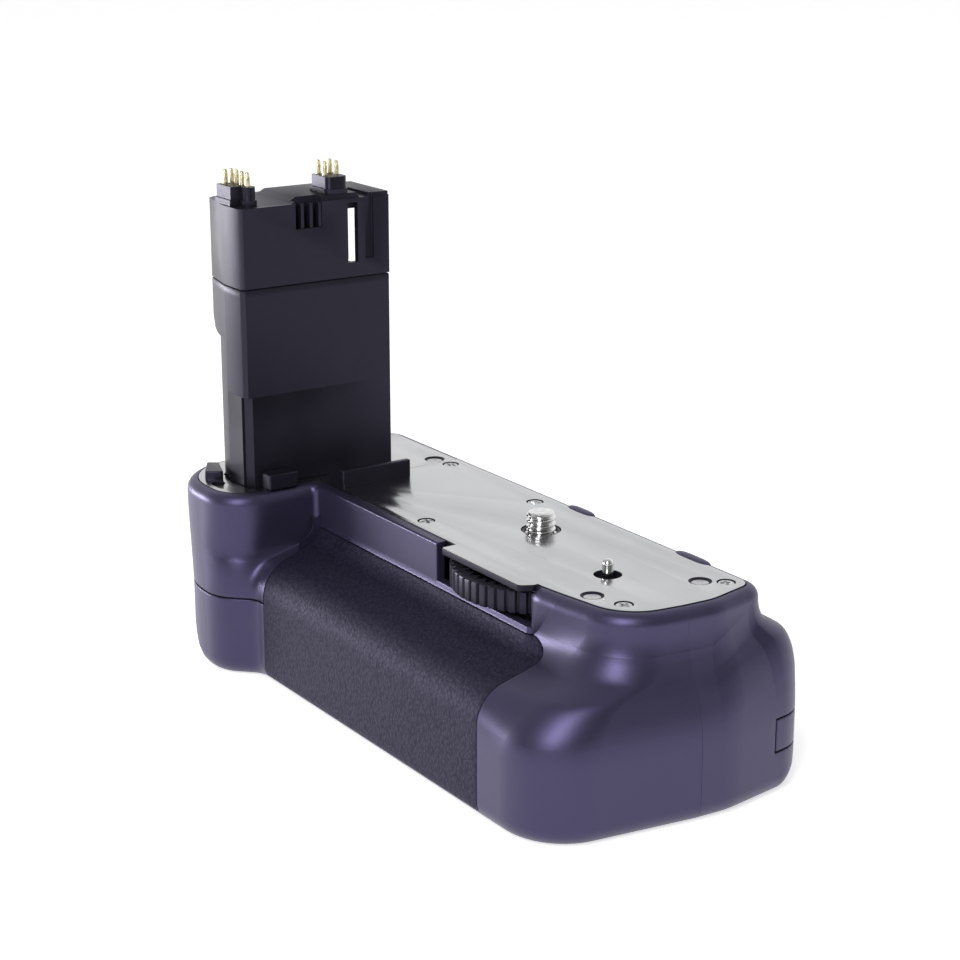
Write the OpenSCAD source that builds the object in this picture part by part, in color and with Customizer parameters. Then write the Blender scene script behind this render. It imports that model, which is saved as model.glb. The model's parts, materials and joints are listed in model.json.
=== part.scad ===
// Camera battery grip. The origin is on the axis of the attachment screw, in the top face of the plate
// that meets the camera. X runs along the grip with the battery-bay stalk at -X, -Y is the front with
// the thumb wheel and the grip panel, and +Z is up. All sizes are in millimetres.

/* [Housing] */
// Screw axis to the left end
left_reach = 88; // [86:0.5:94]
// Screw axis to the right end of the belly
right_reach = 62.3; // [61:0.1:68]
// Screw axis to the right end at the rim
right_top = 57; // [55:0.5:59]
// Screw axis to the front of the belly
front_reach = 40.8; // [39.5:0.1:43]
// How far the hand-grip bump stands out in front of the belly
bump_out = 7; // [6.4:0.1:8]
// Screw axis to the front wall under the plate
front_top = 23.4; // [23:0.1:24]
// Screw axis to the back of the belly
rear_reach = 25.5; // [24.5:0.1:28]
// Screw axis to the rear wall at the rim
rear_top = 17.4; // [16.6:0.1:18.4]
// Height of the body below the plate's top face
body_h = 43.5; // [43:0.5:50]
// Thickness of the moulded walls
wall = 2; // [1.6:0.1:2.4]
// Radius along the bottom edge
bottom_r = 4; // [3:0.1:4.6]
// Plan radius of the belly's front right corner
belly_r = 12; // [9:0.5:14]
// Depth of the upright wall above the finger shelf
shoulder_z = 8.5; // [8.4:0.1:9]
// Radius of the hollow above the finger shelf
hollow_r = 5; // [4.5:0.1:5.6]
// Radius of the round below the finger shelf
round_r = 8; // [7:0.1:8.4]
// Steepness of the hollow and the round where they meet the shelf, in degrees
shelf_angle = 74; // [70:1:78]
// How much higher the shoulder lies at the right end and the rear
rear_lift = 5.6; // [4:0.1:5.7]
// Depth of the control cap's seam below the round of the shelf
seam_gap = 1.014; // [0.9:0.002:1.3]

/* [Grip panel] */
// Thickness of the leatherette
panel_t = 0.8; // [0.6:0.1:1]
// Depth of the panel's top edge below the plate's top face
panel_z = 9.8; // [9.4:0.1:11]
// Right edge of the panel
panel_x = 36; // [33:0.5:40]

/* [Plate] */
// Thickness of the plate
plate_t = 2.2; // [1.8:0.1:2.4]
// Screw axis to the front edge of the plate
plate_front = 20.9; // [20.6:0.1:21]
// Screw axis to the edge of the visor over the wheel
visor = 24.6; // [23.6:0.1:25.4]
// Thickness of the visor
visor_t = 1.3; // [1:0.1:1.5]
// Length of the deck, from the left end of the housing to the plate
deck_len = 32.7; // [31.5:0.1:33.2]
// Diameter of the plate screws' heads
head_d = 3.7; // [3:0.1:4.2]
// Diameter of the blind holes for the camera's feet
dimple_d = 4.7; // [4:0.1:5.4]
// Diameter of the recess round the locating pin
pin_recess_d = 5.75; // [5:0.05:6.4]
// Diameter of the locating pin
pin_d = 2.3; // [2:0.1:2.8]
// Height of the locating pin above the plate
pin_h = 3.4; // [2.5:0.1:4]

/* [Screw and wheel] */
// Diameter of the attachment screw over its thread
screw_d = 6.35; // [6:0.05:6.6]
// Height of the screw above the plate
screw_h = 4.2; // [3:0.1:5.5]
// Diameter of the plate's hole for the screw's bush
screw_hole_d = 8.6; // [8.5:0.05:9]
// Radius of the thumb wheel over its ribs
wheel_r = 20.5; // [20.4:0.1:21]
// Height of the thumb wheel's ribbed rim
wheel_rim_h = 3.6; // [3.2:0.1:3.8]
// Number of ribs on the wheel
wheel_ribs = 54; // [40:1:64]
// Module of the wheel's gear teeth
tooth_m = 0.8; // [0.78:0.01:0.82]
// Teeth inside the wheel's rim
ring_teeth = 44; // [43:1:44]
// Teeth of the pinion on the screw
pinion_teeth = 12; // [11:1:13]
// Direction from the screw to the wheel's axle, in degrees
wheel_dir = -29.4; // [-34:0.2:-26]
// Diameter of the wheel's axle
axle_d = 4; // [3:0.1:5]

/* [Stalk] */
// Right end of the deck to the right face of the stalk
stalk_inset = 6.5; // [5.4:0.1:7.6]
// Width of the stalk above its step
stalk_w = 20.2; // [18:0.1:21]
// Width of the stalk below its step
stalk_low_w = 13.8; // [12.5:0.1:16]
// Depth of the stalk from front to back
stalk_d = 38.4; // [36:0.1:40]
// Front of the bump to the front facet of the stalk
stalk_setback = 9.8; // [9:0.1:10.6]
// Height of the stalk above the plate
stalk_h = 64; // [56:0.5:70]
// Height of the seam between the column and the cap
stalk_seam = 45.7; // [42:0.1:48]
// Height of the step in the stalk's left side
stalk_step = 34; // [28:0.5:36]
// Diameter of the contact pins
contact_d = 1; // [0.8:0.05:1.2]
// Height of the contact blocks
contact_h = 4.2; // [3:0.1:5]
// Height of the contact pins above their blocks
contact_pin_h = 3.3; // [2.5:0.1:3.6]

/* [Controls] */
// Diameter of the shutter button
shutter_size = 10.4; // [8:0.1:10.4]
// Travel of the shutter button
shutter_travel = 1.2; // [0.8:0.1:1.3]
// Radius of the control dial
dial_r = 8.5; // [8:0.1:9]
// Thickness of the control dial
dial_size = 6.4; // [5:0.1:6.4]
// Number of ribs on the control dial
dial_ribs = 28; // [20:1:36]
// Diameter of the power switch
switch_size = 8; // [6:0.1:8]
// Gap between neighbouring rear buttons
button_space = 0.8; // [0.75:0.05:2]
// Travel of the rear buttons
button_travel = 0.8; // [0.5:0.1:0.9]
// How far the control panels lie below the housing's surface
panel_sink = 1.2; // [0.8:0.1:1.4]

/* [Magazine] */
// Diameter of one battery cell
cell_d = 14.5; // [14.2:0.1:14.7]
// Length of one battery cell with its contacts
cell_len = 52; // [51:0.1:52.6]
// Number of cells side by side
cells = 6; // [6:1:6]
// Thickness of the tray's walls
tray_t = 1; // [0.8:0.1:1.2]
// Diameter of the latch knob
latch_d = 14; // [12:0.5:16]
// How far the latch knob stands out of the door
latch_h = 2.2; // [1.6:0.1:3]
// Diameter of the tripod socket's tapped hole
socket_d = 5.1; // [4.9:0.05:5.3]

/* [Fits] */
// Gap between fixed pieces of the housing
fit_gap = 0.2; // [0.15:0.01:0.25]
// Gap between moving pieces
run_gap = 0.3; // [0.25:0.01:0.35]
// Radial running clearance of shafts
shaft_gap = 0.05; // [0.02:0.01:0.08]

/* [Hidden] */
$fn = 48;

big = 400;
plate_seam = left_reach - deck_len;
stalk_x = plate_seam + stalk_inset;
bump_edge = plate_seam + 0.9;
housing_colour = "#3b3844";
panel_colour = "#2f2c3a";
plate_colour = "#6f7076";
stalk_colour = "#232327";
metal_colour = "#c9c9cc";
brass_colour = "#d8c489";

// Plan outline of the housing: corners with radii, at the rim and at the belly, with the same order and
// count, starting at the left parting line and going round the front, the right end and the rear. A
// fourth value is what the bottom edge's radius gains in the middle of that corner.
arc_n = 5;
part_right_y = -5;
apex_y = 3;
slot_x0 = -5.2;
slot_x1 = 28.6;
crease_r = 2;
rim_round = 2.6;
wall_round = 0.5;
soft_z = 30;
panel_x0 = bump_edge - 2.3;
belly_crease_x = bump_edge - 5.6;
door_x = cells * (cell_d + 0.1) / 2 + tray_t + 1.2;
bump_reach = front_reach + bump_out;
stalk_front = bump_reach - stalk_setback;
step_out = front_reach - front_top;
shelf_run = step_out - (hollow_r + round_r) * (1 - cos(shelf_angle));
shelf_z = shoulder_z + hollow_r * sin(shelf_angle) + shelf_run / tan(shelf_angle);
belly_z = shelf_z + round_r * sin(shelf_angle);
seam_z = belly_z + seam_gap;
flap_z0 = seam_z + 2.5;
window_z1 = body_h - bottom_r - 0.7;
flap_z1 = flap_z0 + 0.575 * (window_z1 - flap_z0);
rear_plate_x0 = left_reach - 10;
rear_plate_x1 = door_x + 6.5;
panel_y0 = -26;
panel_y1 = 15;
bump_r = min(bump_reach + panel_y0 - 0.8, left_reach - bump_edge - 10.8);
function on_line(a, b, y) = [a.x + (b.x - a.x) * (y - a.y) / (b.y - a.y), y];
belly_right = [right_reach, apex_y];
belly_back = [right_reach - 3.6, rear_reach];
rim_right = [right_top, apex_y];
rim_back = [right_top - 3.5, rear_top];
function flap_edge(a, b, y) = let (p = on_line(a, b, y)) [p.x, p.y, 0];
rim_corners = [
    [-left_reach, rear_top - 7.9, 0], [-left_reach, rear_top - 8.2, 0], [-left_reach, panel_y0, 0],
    [-left_reach, -bump_reach + 0.5, bump_r - 3.3], [-bump_edge + 0.4, -bump_reach + 0.5, 10.5],
    [-bump_edge, -front_top, crease_r],
    [-panel_x0, -front_top, 0], [-panel_x0 + fit_gap, -front_top, 0],
    [slot_x0, -front_top, 0], [slot_x1, -front_top - 0.2, 0],
    [panel_x, -front_top + 0.7, 0], [panel_x + fit_gap, -front_top + 0.7, 0],
    [right_top - 2.2, -front_top + 3.6, 13], [right_top - 0.4, part_right_y, 0],
    [rim_right.x, rim_right.y, 14],
    flap_edge(rim_right, rim_back, rear_top - 6.2), flap_edge(rim_right, rim_back, rear_top - 5.9),
    [rim_back.x, rim_back.y, 6],
    [door_x + 2.2 + run_gap, rear_top, 0], [door_x + 2.2, rear_top, 0],
    [door_x + run_gap, rear_top, 0], [door_x, rear_top, 0],
    [-door_x, rear_top, 0], [-door_x - run_gap, rear_top, 0],
    [-rear_plate_x1, rear_top, 0], [-rear_plate_x0, rear_top, 0],
    [-left_reach, rear_top, 6]];
belly_corners = [
    [-left_reach, rear_reach - 9.6, 0], [-left_reach, panel_y1, 0], [-left_reach, panel_y0, 0],
    [-left_reach, -bump_reach, bump_r, 7], [-belly_crease_x - 1.9, -bump_reach, 6],
    [-belly_crease_x, -front_reach, crease_r - 0.8],
    [-belly_crease_x + 1.4, -front_reach, 0], [-belly_crease_x + 1.4 + fit_gap, -front_reach, 0],
    [slot_x0, -front_reach, 0], [slot_x1, -front_reach, 0],
    [panel_x, -front_reach, 0], [panel_x + fit_gap, -front_reach, 0],
    [right_reach - 5.2, -front_reach, belly_r], [right_reach - 0.4, part_right_y, 0],
    [belly_right.x, belly_right.y, 24],
    flap_edge(belly_right, belly_back, rear_reach - 10.2),
    flap_edge(belly_right, belly_back, rear_reach - 10.2 + run_gap),
    [belly_back.x, belly_back.y, 9, 2],
    [door_x + 2.2 + run_gap, rear_reach, 0], [door_x + 2.2, rear_reach, 0],
    [door_x + run_gap, rear_reach, 0], [door_x, rear_reach, 0],
    [-door_x, rear_reach, 0], [-door_x - run_gap, rear_reach, 0],
    [-rear_plate_x1, rear_reach, 0], [-rear_plate_x0, rear_reach, 0],
    [-left_reach, rear_reach, 8, 3]];

// Names of the outline's corners, as their places in the lists above
c_bump_right = 4;
c_crease = 5;
c_panel_back = 1;
c_panel_front = 2;
c_skin_left = 6;
c_skin_in = 7;
c_slot_left = 8;
c_slot_right = 9;
c_skin_right = 10;
c_front_right = 12;
c_part_right = 13;
c_flap_front = 15;
c_flap_rear = 18;
c_door_right = 20;
c_door_left = 22;
c_plate_right = 24;
c_plate_left = 25;
c_rear_left = 26;

function unit(v) = v / norm(v);
function corner_pts(prev, c, next, r) =
    let (a = unit(prev - c), b = unit(next - c), half = acos(max(-1, min(1, a * b))) / 2)
    r == 0 ? [c] :
    let (centre = c + unit(a + b) * r / sin(half), p = c + a * r / tan(half), q = c + b * r / tan(half),
         a0 = atan2(p.y - centre.y, p.x - centre.x), a1 = atan2(q.y - centre.y, q.x - centre.x),
         turn = (a1 - a0 + 540) % 360 - 180)
    [for (i = [0 : arc_n]) centre + r * [cos(a0 + turn * i / arc_n), sin(a0 + turn * i / arc_n)]];
function xy(c) = [c.x, c.y];
function outline(corners) = let (n = len(corners))
    [for (k = [0 : n - 1])
        each corner_pts(xy(corners[(k + n - 1) % n]), xy(corners[k]), xy(corners[(k + 1) % n]), corners[k].z)];
function draw_in(pts, d) = let (n = len(pts))
    [for (i = [0 : n - 1]) let (t = unit(pts[(i + 1) % n] - pts[(i + n - 1) % n])) pts[i] + d[i] * [-t.y, t.x]];
function inset(pts, d) = draw_in(pts, [for (p = pts) d]);
function start_of(k, i = 0, at = 0) =
    i == k ? at : start_of(k, i + 1, at + (rim_corners[i].z > 0 ? arc_n + 1 : 1));

rim_line = outline(rim_corners);
belly_line = outline(belly_corners);
count_u = len(rim_line);
function lift_of(k, i) = k < c_front_right ? 0 : k == c_front_right ? rear_lift * i / arc_n
    : k == c_rear_left ? rear_lift * (1 - i / arc_n) : rear_lift;
lift = [for (k = [0 : len(rim_corners) - 1]) for (i = [0 : rim_corners[k].z > 0 ? arc_n : 0]) lift_of(k, i)];
function rim_r_of(k, i) = k == c_crease ? rim_round + (wall_round - rim_round) * i / arc_n
    : k > c_crease && k <= c_slot_left ? wall_round : rim_round;
function soft_of(k, i) = let (t = i / arc_n) k == c_bump_right ? 0.7 - 0.35 * t : k == c_crease ? 0.35 * (1 - t)
    : k == c_front_right ? 0.3 + 0.6 * t : k == c_part_right ? 0.9 : k == c_part_right + 1 ? 0.9 - 0.2 * t
    : k == c_flap_front || k == c_flap_front + 1 ? 0.45 : k == c_flap_front + 2 ? 0.45 * (1 - t) : 0;
rim_edge = [for (k = [0 : len(rim_corners) - 1]) for (i = [0 : rim_corners[k].z > 0 ? arc_n : 0]) rim_r_of(k, i)];
soft = [for (k = [0 : len(rim_corners) - 1]) for (i = [0 : rim_corners[k].z > 0 ? arc_n : 0]) soft_of(k, i)];
edge_r = [for (c = belly_corners) for (i = [0 : c.z > 0 ? arc_n : 0])
    bottom_r + (c[3] == undef ? 0 : c[3] * pow(sin(180 * i / arc_n), 2))];

// Upright profile of the housing: for each level, how far the outline has gone from rim to belly, how much
// of the rim's radius it is drawn in, its height, its share of the lift at the rear, and how much of the
// rim's radius it drops. A hollow, a shelf and a round lead from the rim wall to the belly. At the right
// end and on the bump's flank two long arcs soften them.
function rim_at(a) = [0, 1 - sin(a), -0.2, 0, 1 - cos(a)];
function soft_share(i, z) =
    let (top = rim_round + 0.2, h = soft_z - top, t = max(0, min(h, -z - top)),
         d = max(0.01, norm(belly_line[i] - rim_line[i])), r = (h * h + d * d) / (4 * d), q = min(t, h - t),
         x = (r - sqrt(max(0, r * r - q * q))) / d) t < h / 2 ? x : 1 - x;
function hollow_at(a) = [hollow_r * (1 - cos(a)) / step_out, 0, -shoulder_z - hollow_r * sin(a), 1];
function round_at(a) = [1 - round_r * (1 - cos(a)) / step_out, 0, -belly_z + round_r * sin(a), 1];
function belly_at(z, share = 0) = [1, 0, -z, share];
function bottom_at(a) = [1, 0, -body_h + bottom_r * (1 - sin(a)), 0];
function edge_inset(r, z) = let (drop = max(0, r - body_h - z)) r - sqrt(max(0, r * r - drop * drop));
function hollow_angle(z) = asin((z - shoulder_z) / hollow_r);
levels = [
    rim_at(16), rim_at(40), rim_at(65), rim_at(90), hollow_at(0),
    hollow_at(hollow_angle(panel_z)), hollow_at(hollow_angle(panel_z + fit_gap)), hollow_at(50),
    hollow_at(shelf_angle), round_at(shelf_angle), round_at(50), round_at(25), round_at(0),
    belly_at(belly_z + 0.3, 0.4), belly_at(belly_z + 0.3 + run_gap, 0.4),
    belly_at(seam_z), belly_at(seam_z + fit_gap), belly_at(flap_z0 - run_gap), belly_at(flap_z0),
    belly_at(flap_z1), belly_at(flap_z1 + run_gap), belly_at(window_z1), bottom_at(0), bottom_at(30),
    bottom_at(60), bottom_at(90)];
count_v = len(levels);
v_slot = 3;
v_skin = 5;
v_door = 13;
v_seam = 15;
v_window = 17;
v_flap_end = 20;
v_window_end = 21;
v_skin_end = 23;

// The housing's outer surface as a grid of points, and its outward normals
function share_of(l, i) = l.x + soft[i] * (soft_share(i, l.z + lift[i] * l[3]) - l.x);
function level_pts(l) =
    draw_in([for (i = [0 : count_u - 1]) let (s = share_of(l, i)) rim_line[i] * (1 - s) + belly_line[i] * s],
            [for (i = [0 : count_u - 1]) l.y * rim_edge[i] + edge_inset(edge_r[i], l.z)]);
function level_z(l, i) = l.z + lift[i] * l[3] - (l[4] == undef ? 0 : l[4] * rim_edge[i]);
skin_grid = [for (l = levels) let (pts = level_pts(l))
    [for (i = [0 : count_u - 1]) [pts[i].x, pts[i].y, level_z(l, i)]]];
function grid_normal(u, v) =
    let (along = skin_grid[v][(u + 1) % count_u] - skin_grid[v][(u + count_u - 1) % count_u],
         down = skin_grid[min(v + 1, count_v - 1)][u] - skin_grid[max(v - 1, 0)][u])
    v == count_v - 1 ? [0, 0, -1] : unit(cross(down, along));
normal_grid = [for (v = [0 : count_v - 1]) [for (u = [0 : count_u - 1]) grid_normal(u, v)]];
function in_skin(u, v) =
    u >= start_of(c_skin_in) && u <= start_of(c_skin_right) && v > v_skin && v <= v_skin_end;
skin_recess = panel_t + 0.05;
rim_inside = inset(rim_line, rim_round - 0.2);

// A closed piece of the housing's wall: the cells of the grid that keep() accepts, from depth d0 to d1
module wall_piece(u0, u1, v0, v1, d1, keep, recess) {
    nu = u1 - u0 + 1;
    nv = v1 - v0 + 1;
    at = [for (v = [v0 : v1]) [for (u = [u0 : u1]) u % count_u]];
    outer = [for (v = [v0 : v1]) for (u = at[v - v0])
        skin_grid[v][u] - (recess && in_skin(u, v) ? skin_recess : 0) * normal_grid[v][u]];
    inner = [for (v = [v0 : v1]) for (u = at[v - v0])
        v < v_slot ? [rim_inside[u].x, rim_inside[u].y, skin_grid[v][u].z] : skin_grid[v][u] - d1 * normal_grid[v][u]];
    has = [for (v = [v0 : v1 - 1]) [for (u = [u0 : u1 - 1]) keep(u, v)]];
    function kept(i, j) = i >= 0 && j >= 0 && i < nu - 1 && j < nv - 1 && has[j][i];
    total = nu * nv;
    function id(i, j) = j * nu + i;
    faces = [for (j = [0 : nv - 2]) for (i = [0 : nu - 2]) if (has[j][i])
        let (a = id(i, j), b = id(i + 1, j), c = id(i + 1, j + 1), d = id(i, j + 1))
        each concat(
            [[a, b, c], [a, c, d]],
            [[a + total, c + total, b + total], [a + total, d + total, c + total]],
            kept(i, j - 1) ? [] : edge_faces(a, b, total), kept(i + 1, j) ? [] : edge_faces(b, c, total),
            kept(i, j + 1) ? [] : edge_faces(c, d, total), kept(i - 1, j) ? [] : edge_faces(d, a, total))];
    polyhedron(points = concat(outer, inner), faces = faces);
}
function edge_faces(p, q, total) = [[q, p, p + total], [q, p + total, q + total]];

front_end = start_of(c_part_right);
skin_left = start_of(c_skin_left);
skin_in = start_of(c_skin_in);
function between(u, a, b) = u >= start_of(a) && u < start_of(b);
front_keeps = function (u, v)
    !(u <= skin_left && v >= v_seam) && !(between(u, c_slot_left, c_slot_right) && v <= v_slot);
rear_keeps = function (u, v)
    !(between(u, c_door_right, c_door_left + 1) && v >= v_door)
    && !(between(u, c_flap_front, c_flap_rear + 1) && v >= v_window && v < v_flap_end)
    && !(between(u, c_plate_right, c_plate_left) && v >= v_window && v < v_window_end);
cap_keeps = function (u, v)
    !(between(u, c_panel_back, c_panel_front) && v >= v_window && v < v_window_end);
keep_all = function (u, v) true;

module front_shell() {
    color(housing_colour)
        wall_piece(0, front_end, 0, count_v - 1, wall, front_keeps, true);
}

module rear_shell() {
    color(housing_colour)
        wall_piece(front_end, count_u, 0, count_v - 1, wall, rear_keeps, false);
}

module control_cap() {
    color(housing_colour)
        wall_piece(0, skin_left, v_seam + 1, count_v - 1, wall, cap_keeps, false);
}

module grip_panel() {
    color(panel_colour)
        wall_piece(skin_in, start_of(c_skin_right), v_skin + 1, v_skin_end, panel_t, keep_all, false);
}

module cord_flap() {
    color(housing_colour)
        wall_piece(start_of(c_flap_front) + 1, start_of(c_flap_rear), v_window + 1, v_flap_end - 1,
                   flap_t, keep_all, false);
}

module magazine_door() {
    color(housing_colour)
        difference() {
            wall_piece(start_of(c_door_right) + 1, start_of(c_door_left), v_door + 1, count_v - 1,
                       wall, keep_all, false);
            latch_axis(latch_shaft_d / 2 + shaft_gap);
        }
}

// Base
flap_t = 1.5;
floor_z = -body_h + wall;
base_line = inset(level_pts(levels[count_v - 1]), run_gap);
runner_x = [-30, 30];
runner_w = 4;
bay_x = door_x + run_gap;
bay_wall = 1.6;
base_screw_at = [[-bay_x - 4.6, -26], [bay_x + 4.6, -26], [-bay_x - 4.6, 8], [bay_x + 4.6, 8]];
base_screw_d = 2;
base_head_d = 4;
base_head_h = 1.4;
socket_at = [0, -4];
bush_r = 6;
bush_h = 4.4;

module base_cover() {
    color(housing_colour)
        difference() {
            union() {
                translate([0, 0, -body_h]) linear_extrude(wall) polygon(base_line);
                for (x = runner_x)
                    translate([x - runner_w / 2, tray_y0 + 2, floor_z - 0.1])
                        cube([runner_w, tray_y1 - tray_y0 - 2, tray_z0 - run_gap - floor_z + 0.1]);
            }
            translate([socket_at.x, socket_at.y, -body_h - 1]) cylinder(r = bush_r + 0.02, h = wall + 2);
            for (p = base_screw_at) translate([p.x, p.y, -body_h]) {
                translate([0, 0, -1]) cylinder(d = base_head_d + fit_gap, h = base_head_h + 1 + 0.1);
                cylinder(d = base_screw_d + fit_gap, h = wall + 1);
            }
        }
}

module tripod_bush() {
    color(metal_colour)
        translate([socket_at.x, socket_at.y, -body_h])
            difference() {
                cylinder(r = bush_r, h = bush_h);
                translate([0, 0, -1]) cylinder(d = socket_d, h = bush_h + 1 - 0.6);
            }
}

module base_screws() {
    color(metal_colour)
        for (p = base_screw_at) translate([p.x, p.y, -body_h + 0.1]) {
            cylinder(d = base_head_d, h = base_head_h);
            cylinder(d = base_screw_d, h = 9);
        }
}

// Plate, deck and what stands on them
inner_line = inset(rim_line, rim_round - 0.2 + fit_gap);
visor_x0 = -1.6;
visor_x1 = slot_x1 - 1.6;
plate_edge = concat(
    [[-plate_seam, -plate_front], [slot_x1 + 1, -plate_front]],
    [for (i = [start_of(c_skin_right) + 2 : start_of(c_flap_rear)]) inner_line[i]],
    [[-plate_seam, rear_top - rim_round + 0.2 - fit_gap]]);
visor_edge = outline([
    [visor_x0, -plate_front + 2, 0], [visor_x0, -visor, 0.8], [visor_x1, -visor, 1.6],
    [slot_x1 - fit_gap, -plate_front - 1, 1.2], [slot_x1 - fit_gap, -plate_front + 2, 0]]);
plate_screw_at = [[47.3, -13.8], [48.4, 11.1], [-17, 10.4], [-18.9, -17.2],
    [-plate_seam + 2.7, 11.1]];
plate_screw_d = 1.8;
plate_head_h = 1.2;
head_sink = 0.15;
dimple_at = [[39.8, -15.9], [45, 7.2]];
dimple_depth = 0.8;
dish_r = (dimple_d * dimple_d / 4 + dimple_depth * dimple_depth) / (2 * dimple_depth);
pin_at = [31.5, -5.8];
pin_recess = 1.2;
pin_foot_d = pin_d + 0.6;

module top_plate() {
    color(plate_colour)
        difference() {
            union() {
                translate([0, 0, -plate_t]) linear_extrude(plate_t) polygon(plate_edge);
                translate([0, 0, -visor_t]) linear_extrude(visor_t) polygon(visor_edge);
            }
            translate([0, 0, -plate_t - 1]) cylinder(d = screw_hole_d, h = plate_t + 2);
            translate([pin_at.x, pin_at.y, -pin_recess]) cylinder(d = pin_recess_d, h = 2);
            translate([pin_at.x, pin_at.y, -plate_t - 1]) cylinder(d = pin_foot_d + 0.02, h = 3);
            keeper_pocket();
            translate([0, 0, -pocket_depth]) linear_extrude(big) pad_feet(pocket_gap + 0.1);
            for (p = dimple_at) translate([p.x, p.y, dish_r - dimple_depth]) sphere(r = dish_r);
            for (p = plate_screw_at) translate([p.x, p.y, 0]) {
                translate([0, 0, -plate_head_h - head_sink]) cylinder(d = head_d + 0.1, h = 2);
                translate([0, 0, -plate_t - 1]) cylinder(d = plate_screw_d + fit_gap, h = plate_t + 1);
            }
        }
}

module plate_screws() {
    color(metal_colour)
        for (p = plate_screw_at) translate([p.x, p.y, -head_sink]) {
            translate([0, 0, -plate_head_h]) cylinder(d = head_d, h = plate_head_h);
            translate([0, 0, -plate_head_h - 6]) cylinder(d = plate_screw_d, h = 6.2);
        }
}

module locating_pin() {
    color(metal_colour)
        translate([pin_at.x, pin_at.y, 0]) {
            translate([0, 0, -plate_t]) cylinder(d = pin_foot_d, h = plate_t - pin_recess);
            translate([0, 0, -pin_recess - 0.1]) cylinder(d = pin_d, h = pin_recess + 0.1 + pin_h - pin_d / 2);
            translate([0, 0, pin_h - pin_d / 2]) sphere(d = pin_d);
        }
}

rim_pad_x = [[-10.6, -1.4], [27.3, 38.4]];
rim_pad_h = 0.45;
rim_pad_w = 3.2;
rim_pad_t = 1.3;
pocket_depth = 0.8;
pocket_gap = 0.05;
module pad_feet(grow) {
    for (x = rim_pad_x)
        translate([x[0] - grow, rear_top - rim_round - 1.4 - grow])
            square([x[1] - x[0] + 2 * grow, rim_pad_t + 2 * grow]);
}
module rim_pads() {
    color(stalk_colour)
        union() {
            translate([0, 0, -pocket_depth]) linear_extrude(pocket_depth + rim_pad_h) pad_feet(0);
            for (x = rim_pad_x)
                translate([x[0], rear_top - rim_round - 1.4, -0.1]) cube([x[1] - x[0], rim_pad_w, rim_pad_h + 0.1]);
        }
}

deck_top = -0.1;
deck_hole_gap = 0.3;
deck_dimple_at = [-plate_seam - 3.3, 10.4];
deck_screw_at = [-stalk_x - 7.6, -stalk_front - 3.8];
deck_boss = [
    [-stalk_x - 11.2, -stalk_front - 5.4], [-stalk_x - 8.8, -stalk_front - 1.8],
    [-stalk_x - 16.5, -stalk_front + 1], [-stalk_x - 18.2, -stalk_front - 1.3]];
deck_boss_h = 2.2;
module stalk_deck() {
    color(plate_colour)
        difference() {
            union() {
                intersection() {
                    translate([0, 0, deck_top - plate_t]) linear_extrude(plate_t) polygon(inner_line);
                    translate([-big, -big / 2, -big / 2]) cube([big - plate_seam - fit_gap, big, big]);
                }
                translate([0, 0, deck_top - 0.1]) linear_extrude(deck_boss_h + 0.1) polygon(deck_boss);
            }
            translate([0, 0, -big / 2]) linear_extrude(big) polygon(stalk_plan(stalk_low_w, deck_hole_gap, 0.1));
            keeper_pocket();
            translate([deck_dimple_at.x, deck_dimple_at.y, deck_top + dish_r - dimple_depth]) sphere(r = dish_r);
            translate([deck_screw_at.x, deck_screw_at.y, deck_top - 1.4]) cylinder(d = 3, h = 3);
        }
}

keeper_h = 3.8;
keeper_x = [-plate_seam - 2.4, -plate_seam + 5.1];
keeper_y = [-19.7, -1.6];
keeper_t = 1.5;
module keeper_plan(grow) {
    translate([keeper_x[0] - grow, keeper_y[0] - grow])
        square([keeper_x[1] - keeper_x[0] + 2 * grow, keeper_t + 2 * grow]);
    translate([keeper_x[1] - keeper_t - grow, keeper_y[0] - grow])
        square([keeper_t + 2 * grow, keeper_y[1] - keeper_y[0] + 2 * grow]);
}
module keeper_pocket() {
    translate([0, 0, -pocket_depth]) linear_extrude(big) keeper_plan(pocket_gap);
}
module door_keeper() {
    color(stalk_colour)
        translate([0, 0, -pocket_depth]) linear_extrude(pocket_depth + keeper_h) keeper_plan(0);
}

stop_h = 3.5;
module stop_block() {
    color(stalk_colour)
        translate([-stalk_x + run_gap, -stalk_front + 3.1, deck_top]) cube([4.3, 7.3, stop_h - deck_top]);
}

// Stalk that fills the camera's battery bay
stalk_foot = -11;
facet_turn = 12;
facet_x = 8.6;
chamfer = 1.4;
lip_z = 21;
corner_cut = 1.2;
stalk_back = -stalk_front + stalk_d;
function stalk_plan(w, grow, cut) = [
    [-stalk_x + grow, stalk_back + grow], [-stalk_x - w - grow, stalk_back + grow],
    [-stalk_x - w - grow, -stalk_front + (w - facet_x) * tan(facet_turn) + 1.25 * cut - grow],
    [-stalk_x - w + cut - grow, -stalk_front + (w - facet_x - cut) * tan(facet_turn) - grow],
    [-stalk_x - facet_x, -stalk_front - grow], [-stalk_x - chamfer, -stalk_front - grow],
    [-stalk_x + grow, -stalk_front + chamfer / 2 - grow]];

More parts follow.
